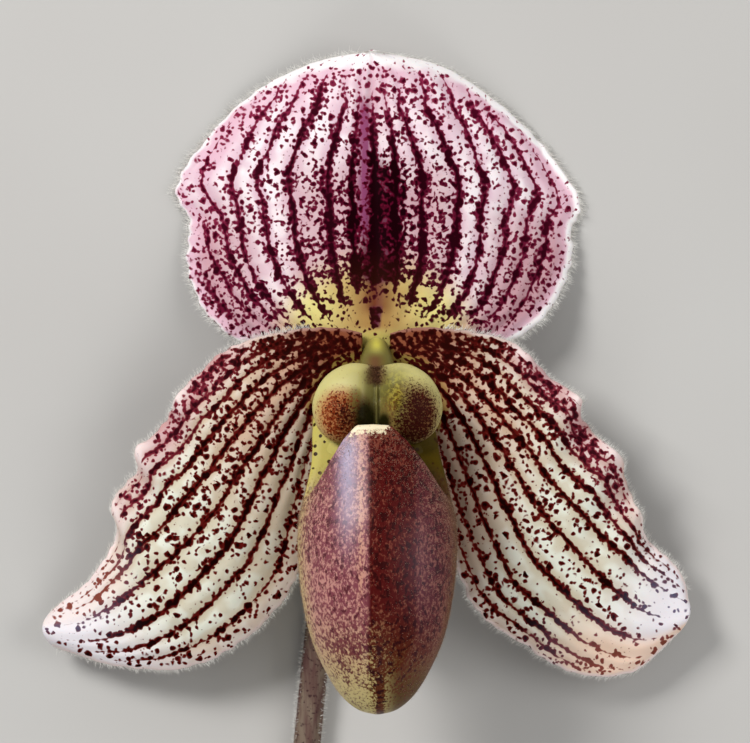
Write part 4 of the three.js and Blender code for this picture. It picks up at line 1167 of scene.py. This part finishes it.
def waxy_flesh(name):
    """The lip is thick flesh under a smooth waxy skin, which gives soft glossy lights; its cool lilac sheen
    is painted into its colour. Its dye is a dense fine speckle of maroon over tan, thin at the toe and sides,
    and only a few freckles on the cream of the rolled beak. Its inside is green with brown dots. Towards the
    right, painted shade darkens its red, its toe and its green. The speckle is drawn a little coarser than
    the real one, 0.3 to 0.6 mm for 0.1 to 0.3, so that it shows."""
    fine_speck, coarse_speck, freckle, dot, cell, drift_size = 0.32, 0.6, 0.45, 0.95, 0.35, 2.6
    material, tree, shader = new_material(name)
    flow = add(tree, "Attribute", attribute_name="flow").outputs["Vector"]
    cover, deep, peach, olive = traits_of(tree, "cover", "deep", "peach", "olive")
    lilac, cream, lining, painted_shade = traits_of(tree, "lilac", "cream", "lining", "painted_shade")

    # tan ground, greener and yellower towards the toe; its red deepens and the toe darkens to the right,
    # partly as painted shade
    ground = add(tree, "Mix", deep, "#bc847a", "#743a2c", data_type="RGBA")
    ground = add(tree, "Mix", peach, ground, "#c28c74", data_type="RGBA")
    toe = add(tree, "Mix", painted_shade, "#c4b276", "#503a06", data_type="RGBA")
    ground = add(tree, "Mix", olive, ground, toe, data_type="RGBA")

    # maroon speckle, drawn out along the pouch, with darker specks in it
    drift = add(tree, "TexNoise", flow, scale=1 / drift_size, detail=1.0)
    drift = add(tree, "MapRange", drift.outputs["Fac"], 0.3, 0.7, -0.1, 0.1)
    dense = add(tree, "Math", cover, drift, operation="ADD", use_clamp=True)
    drawn = add(tree, "VectorMath", flow, (1.0, 0.62, 1.0), operation="MULTIPLY")
    maroon = add(tree, "Mix", deep, "#7a3a44", "#4a0c0a", data_type="RGBA")
    maroon = add(tree, "Mix", olive, maroon, "#5c2a0e", data_type="RGBA")
    skin = add(tree, "Mix", grains(tree, drawn, fine_speck, dense, 0.09), ground, maroon, data_type="RGBA")
    fewer = add(tree, "Math", dense, 0.54, operation="MULTIPLY")
    darkest = add(tree, "Mix", deep, "#561c26", "#300404", data_type="RGBA")
    skin = add(tree, "Mix", grains(tree, drawn, coarse_speck, fewer, 0.06), skin, darkest, data_type="RGBA")
    # a painted sheen: lilac light on the upper left flank and faintly on the right
    skin = add(tree, "Mix", lilac, skin, "#b6b0cb", data_type="RGBA")

    # the cream beak, freckled
    freckles = grains(tree, flow, freckle, add(tree, "MapRange", cream, 0.3, 1.0, 0.75, 0.2), 0.12)
    bare = add(tree, "Math", cream, freckles, operation="SUBTRACT", use_clamp=True)
    bare = add(tree, "MapRange", bare, 0.0, 0.6, 0.0, 1.0)
    skin = add(tree, "Mix", bare, skin, "#eee0bc", data_type="RGBA")

    # the green inside, dotted, and darkened towards the right by painted shade
    away = add(tree, "TexVoronoi", flow, scale=1 / dot).outputs["Distance"]
    dots = add(tree, "MapRange", away, 0.24, 0.32, 1.0, 0.0, interpolation_type="SMOOTHSTEP")
    green = add(tree, "Mix", painted_shade, "#c4b65e", "#4a3a02", data_type="RGBA")
    green = add(tree, "Mix", dots, green, "#382204", data_type="RGBA")
    skin = add(tree, "Mix", lining, skin, green, data_type="RGBA")
    tree.links.new(skin.outputs[2], shader.inputs["Base Color"])

    # lights lie on fine swollen cells, and are weak where the skin is dark or in the hollow
    cells = add(tree, "TexNoise", flow, scale=1 / cell, detail=1.0)
    bump = add(tree, "Bump", height=cells.outputs["Fac"], strength=0.35, distance=0.05 * MM)
    tree.links.new(bump.outputs[0], shader.inputs["Normal"])
    dull = add(tree, "Math", deep, lining, operation="MAXIMUM")
    shine = add(tree, "MapRange", dull, 0.0, 1.0, 0.36, 0.08)
    tree.links.new(shine.outputs[0], shader.inputs["Specular IOR Level"])
    shader.inputs["Roughness"].default_value = 0.4
    shader.inputs["Subsurface Weight"].default_value = 0.06
    shader.inputs["Subsurface Radius"].default_value = (1.0, 0.4, 0.25)
    shader.inputs["Subsurface Scale"].default_value = 0.8 * MM
    return material


def velvet_flesh(name):
    """The shield and column are firm yellow flesh with a skin between wax and velvet, so lights are broad and
    weak. Fine red-brown grains crowd on the lobes, and the groove between them is green to nearly black.
    Painted shade makes the groove's foot and the column's sides dark, and is part of the olive round the
    groove and of the deeper red on the lobes. The grains are drawn a little coarser than the real ones,
    0.3 mm for 0.1, so that they show."""
    fine_grain, coarse_grain, blotch, cell = 0.24, 0.3, 0.5, 0.25
    material, tree, shader = new_material(name)
    flow = add(tree, "Attribute", attribute_name="flow").outputs["Vector"]
    speckle, olive, brown, yellow = traits_of(tree, "speckle", "olive", "brown", "yellow")
    foot, mottle, red = traits_of(tree, "foot", "mottle", "red")

    # yellow ground, brightest in a partly painted highlight on the column's top, olive round the groove
    # (partly painted shade) and on the column's sides (painted shade), and mottled beside the groove
    skin = add(tree, "Mix", yellow, "#c8be7a", "#d6cc56", data_type="RGBA")
    greenish = add(tree, "Math", olive, 0.6, operation="MULTIPLY")
    skin = add(tree, "Mix", greenish, skin, "#8c7c26", data_type="RGBA")
    blotches = grains(tree, flow, blotch, 0.58, 0.1)
    blotches = add(tree, "Mix", blotches, "#b4a83e", "#4a440a", data_type="RGBA")
    skin = add(tree, "Mix", mottle, skin, blotches, data_type="RGBA")

    # the lobes: red-brown under coarse grains under fine ones; the red deepens on their inner sides and over
    # the right lobe, partly as painted shade
    under = add(tree, "MapRange", speckle, 0.1, 0.9, 0.0, 0.92)
    blush = add(tree, "Mix", red, "#b26c40", "#4a1406", data_type="RGBA")
    skin = add(tree, "Mix", under, skin, blush, data_type="RGBA")
    greener = add(tree, "Math", olive, 0.7, operation="MULTIPLY")
    skin = add(tree, "Mix", greener, skin, "#3e3c04", data_type="RGBA")
    coarse = grains(tree, flow, coarse_grain, add(tree, "Math", speckle, 0.66, operation="MULTIPLY"), 0.09)
    grain = add(tree, "Mix", red, "#7c3014", "#320602", data_type="RGBA")
    skin = add(tree, "Mix", coarse, skin, grain, data_type="RGBA")
    often = add(tree, "MapRange", red, 0.0, 1.0, 0.3, 0.62)
    often = add(tree, "Math", speckle, often, operation="MULTIPLY")
    skin = add(tree, "Mix", grains(tree, flow, fine_grain, often), skin, "#2e0a03", data_type="RGBA")

    # the groove: brown down at its top, then painted shade, nearly black, at its foot and low on the
    # column's sides
    skin = add(tree, "Mix", brown, skin, "#6a4630", data_type="RGBA")
    skin = add(tree, "Mix", foot, skin, "#121402", data_type="RGBA")
    tree.links.new(skin.outputs[2], shader.inputs["Base Color"])

    # lights lie on fine cells, and are weaker wherever the skin is dark
    cells = add(tree, "TexNoise", flow, scale=1 / cell, detail=1.0)
    bump = add(tree, "Bump", height=cells.outputs["Fac"], strength=0.4, distance=0.04 * MM)
    tree.links.new(bump.outputs[0], shader.inputs["Normal"])
    dull = speckle
    for trait in (foot, brown, mottle):
        dull = add(tree, "Math", dull, trait, operation="MAXIMUM")
    shine = add(tree, "MapRange", dull, 0.0, 0.8, 0.28, 0.04)
    tree.links.new(shine.outputs[0], shader.inputs["Specular IOR Level"])
    shader.inputs["Roughness"].default_value = 0.45
    shader.inputs["Subsurface Weight"].default_value = 0.12
    shader.inputs["Subsurface Radius"].default_value = (1.0, 0.8, 0.3)
    shader.inputs["Subsurface Scale"].default_value = 0.7 * MM
    return material


def stalk_skin(name):
    """The stalk's skin is dull and downy, green flesh under purplish brown sap that lies in long streaks."""
    material, tree, shader = new_material(name)
    flow = add(tree, "Attribute", attribute_name="flow").outputs["Vector"]
    long = add(tree, "VectorMath", flow, (1.0, 0.15, 1.0), operation="MULTIPLY")
    streaks = grains(tree, long, 0.9, 0.6, 0.2)
    skin = add(tree, "Mix", streaks, "#786858", "#5a3e39", data_type="RGBA")
    flecks = grains(tree, flow, 0.5, 0.25, 0.08)
    skin = add(tree, "Mix", flecks, skin, "#3a2020", data_type="RGBA")
    tree.links.new(skin.outputs[2], shader.inputs["Base Color"])
    shader.inputs["Roughness"].default_value = 0.6
    shader.inputs["Specular IOR Level"].default_value = 0.2
    return material


def leaf_skin(name):
    """The bract is a thin green leaf with paler long veins and purple flecks; it has a faint waxy shine."""
    material, tree, shader = new_material(name)
    flow = add(tree, "Attribute", attribute_name="flow").outputs["Vector"]
    (spread,) = traits_of(tree, "spread")
    veins = add(tree, "Math", spread, BRACT["veins"] * 2 * math.pi, operation="MULTIPLY")
    veins = add(tree, "Math", veins, operation="COSINE")
    veins = add(tree, "MapRange", veins, 0.4, 1.0, 0.0, 0.6)
    skin = add(tree, "Mix", veins, "#66803e", "#a9b676", data_type="RGBA")
    flecks = grains(tree, flow, 0.5, 0.22)
    skin = add(tree, "Mix", flecks, skin, "#5c3440", data_type="RGBA")
    tree.links.new(skin.outputs[2], shader.inputs["Base Color"])
    shader.inputs["Roughness"].default_value = 0.5
    shader.inputs["Specular IOR Level"].default_value = 0.3
    return material


def even_matter(name, light, dark, size, roughness, specular=0.3):
    """Matter of nearly one colour whose tone drifts softly between two shades over `size` mm."""
    material, tree, shader = new_material(name)
    place = add(tree, "TexCoord").outputs["Object"]
    drift = add(tree, "TexNoise", place, scale=1 / (size * MM), detail=2.0)
    tone = add(tree, "MapRange", drift.outputs["Fac"], 0.3, 0.7, 0.0, 1.0)
    skin = add(tree, "Mix", tone, light, dark, data_type="RGBA")
    tree.links.new(skin.outputs[2], shader.inputs["Base Color"])
    shader.inputs["Roughness"].default_value = roughness
    shader.inputs["Specular IOR Level"].default_value = specular
    return material


sepal = spotted_flesh("sepal_flesh", "#dcbcc8", "#f6eaec", [
    # later shades lie over earlier ones
    ("blush", "#e4b8c8"), ("dusk", "#b8848a"), ("base", "#d2b974"), ("amber", "#a0753e"),
    ("lemon", "#e6dc8a"), ("rust", "#6a2c18"), ("neck", "#b5a755"), ("strip", "#8c3c68"),
    ("heart", "#5a1a36"), ("rim", "#fbf5f4"),
], {
    "drift_size": 1.4, "drift": 0.36, "ragged_size": 0.55, "ragged": 0.5,
    "swell_size": 1.9, "thin": 0.64, "thick": 0.96, "patch_size": 2.8, "mottle": 0.8,
    "blot": 0.85, "blot_reach": 0.76, "crowd": 0.36,
    # spacing, least and greatest radius, and how many of them there are
    "spots": [(1.15, 0.28, 0.54, 0.66), (0.7, 0.2, 0.34, 0.56)],
    "core": "#180005", "core_margin": "#48061c", "edge": "#640c28", "edge_margin": "#942a4c",
    "browned": "#2c0c06",
})
petal = spotted_flesh("petal_flesh", "#cec2a8", "#e6e6d6", [
    # the dusk is partly painted shadow of the pouch; the rim is widened on the ruffle crests as a painted
    # highlight
    ("blush", "#c68a94"), ("dusk", "#9c8472"), ("tip", "#eae4e8"), ("base", "#884a2e"),
    ("green", "#8c7434"), ("tan", "#c08766"), ("peach", "#efc8a8"), ("rim", "#f0dcd8"),
], {
    "drift_size": 1.4, "drift": 0.34, "ragged_size": 0.6, "ragged": 0.45,
    "swell_size": 1.7, "thin": 0.95, "thick": 1.6, "patch_size": 2.6, "mottle": 0.85,
    "blot": 1.0, "blot_reach": 0.68, "crowd": 0.3,
    "spots": [(1.25, 0.32, 0.62, 0.58), (0.75, 0.22, 0.37, 0.54)],
    "core": "#180201", "core_margin": "#380a14", "edge": "#681512", "edge_margin": "#862a3a",
    "browned": "#2c0805", "thinned": "#6c6680", "thinned_margin": "#8a4c3c",
})
lip = waxy_flesh("lip_flesh")
shield_flesh = velvet_flesh("column_flesh")
# the stigma is a wet, sticky cushion: pale, smooth and shining
ivory = even_matter("stigma_flesh", "#e8e2b4", "#cfc88c", 0.8, 0.2, 0.5)
# pollen is a dense paste of fine yellow grains: dull, a little lumpy
pollen = even_matter("pollen_paste", "#e2bc48", "#b88a2a", 0.35, 0.55)
stem_skin = stalk_skin("stem_skin")
bract_leaf = leaf_skin("bract_leaf")
# down is clear dead hair full of air: white, dull, a little grey in places
down = even_matter("white_down", "#faf8f2", "#dcd8d0", 1.5, 0.5)
# the lip's down is so thin that the skin under it tints it, and the groove's hairs are brown themselves
tan_down = even_matter("tan_down", "#c8a890", "#a88468", 0.9, 0.6)
brown_down = even_matter("brown_down", "#8a6248", "#5a3824", 0.6, 0.7, 0.1)
# matt paper: nearly even, with a very faint cloudiness
paper = even_matter("floor_paper", "#c2c0bc", "#bdbab6", 60, 0.9, 0.2)

# ---------------------------------------------------------------- the flower
# the right petal, on the side away from the light, gets the most painted shadow on its inner side
left_zones = petal_zones(1, LEFT_CREST, warm_side=1, peach=0.25, shade=0.55, red_to=0.35)
right_zones = petal_zones(-1, RIGHT_CREST, warm_side=-1, peach=0.75, shade=1.0, red_to=0.52)
blade_piece("dorsal_sepal", DORSAL, sepal, dorsal_zones)
blade_piece("synsepal", SYNSEPAL, sepal, synsepal_zones)
blade_piece("petal_left", PETAL_LEFT, petal, left_zones)
blade_piece("petal_right", PETAL_RIGHT, petal, right_zones)
fringe("dorsal_fringe", DORSAL, down, spacing=0.045, length=1.35, start=0.04)
fringe("petal_left_fringe", PETAL_LEFT, down, spacing=0.05, length=1.05, start=0.05)
fringe("petal_right_fringe", PETAL_RIGHT, down, spacing=0.05, length=1.05, start=0.05)
pouch_piece(lip)
pouch_down(tan_down)
column_piece(shield_flesh)
shield_piece(shield_flesh)
groove_down(brown_down)
stigma_piece(ivory)
anther_piece("anther_left", -1, pollen)
anther_piece("anther_right", 1, pollen)
stalk_piece("ovary", ovary_path, ovary_radius, stem_skin)
stalk_piece("stem", stem_path, stem_radius, stem_skin)
stalk_down("stem_down", stem_path, stem_radius, down, count=3600, length=0.75, seed=41)
stalk_down("ovary_down", ovary_path, ovary_radius, down, count=2600, length=0.6, seed=43)
bract_piece(bract_leaf)

# ---------------------------------------------------------------- setting
FRAME_WIDTH = 93.75  # mm that the view is wide at the heart's level
AIM = HEART + np.array([0, -3.31, 0])  # what the camera is right above
CAMERA_HEIGHT = 1000.0  # mm above the heart
SENSOR = 36.0  # mm
FLOOR = 3.0  # half the side of the floor in metres

floor_mesh = bpy.data.meshes.new("floor")
corners = [(-FLOOR, -FLOOR, 0), (FLOOR, -FLOOR, 0), (FLOOR, FLOOR, 0), (-FLOOR, FLOOR, 0)]
floor_mesh.from_pydata(corners, [], [(0, 1, 2, 3)])
floor_mesh.materials.append(paper)
floor = bpy.data.objects.new("floor", floor_mesh)
bpy.context.scene.collection.objects.link(floor)
floor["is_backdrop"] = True

camera = bpy.data.objects.new("camera", bpy.data.cameras.new("camera"))
bpy.context.scene.collection.objects.link(camera)
camera.location = (AIM + np.array([0, 0, CAMERA_HEIGHT])) * MM
camera.data.sensor_width = SENSOR
camera.data.lens = SENSOR * CAMERA_HEIGHT / FRAME_WIDTH
camera.data.clip_start, camera.data.clip_end = 0.05, 10
bpy.context.scene.camera = camera


def soft_light(name, place, size, power):
    """A square soft light aimed at the heart of the flower, `size` mm wide at `place` in mm from it."""
    light = bpy.data.lights.new(name, "AREA")
    light.size = size * MM
    light.energy = power
    lamp = bpy.data.objects.new(name, light)
    lamp.location = (HEART + np.array(place)) * MM
    lamp.rotation_euler = Vector(-np.array(place)).to_track_quat("-Z", "Y").to_euler()
    bpy.context.scene.collection.objects.link(lamp)


soft_light("key", (-440, 360, 520), size=260, power=5.0)
soft_light("fill", (520, 60, 500), size=500, power=2.0)
soft_light("low", (60, -600, 380), size=400, power=1.0)
world = bpy.data.worlds.new("studio")
world.use_nodes = True
surroundings = world.node_tree.nodes["Background"]
surroundings.inputs["Color"].default_value = linear("#e9ecef")
surroundings.inputs["Strength"].default_value = 0.3
bpy.context.scene.world = world
bpy.context.scene.view_settings.view_transform = "Standard"

# ---------------------------------------------------------------- finish
boxes = {"cad": cad_box, "visual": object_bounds()}
{key: [list(low), list(high)] for key, (low, high) in boxes.items()}
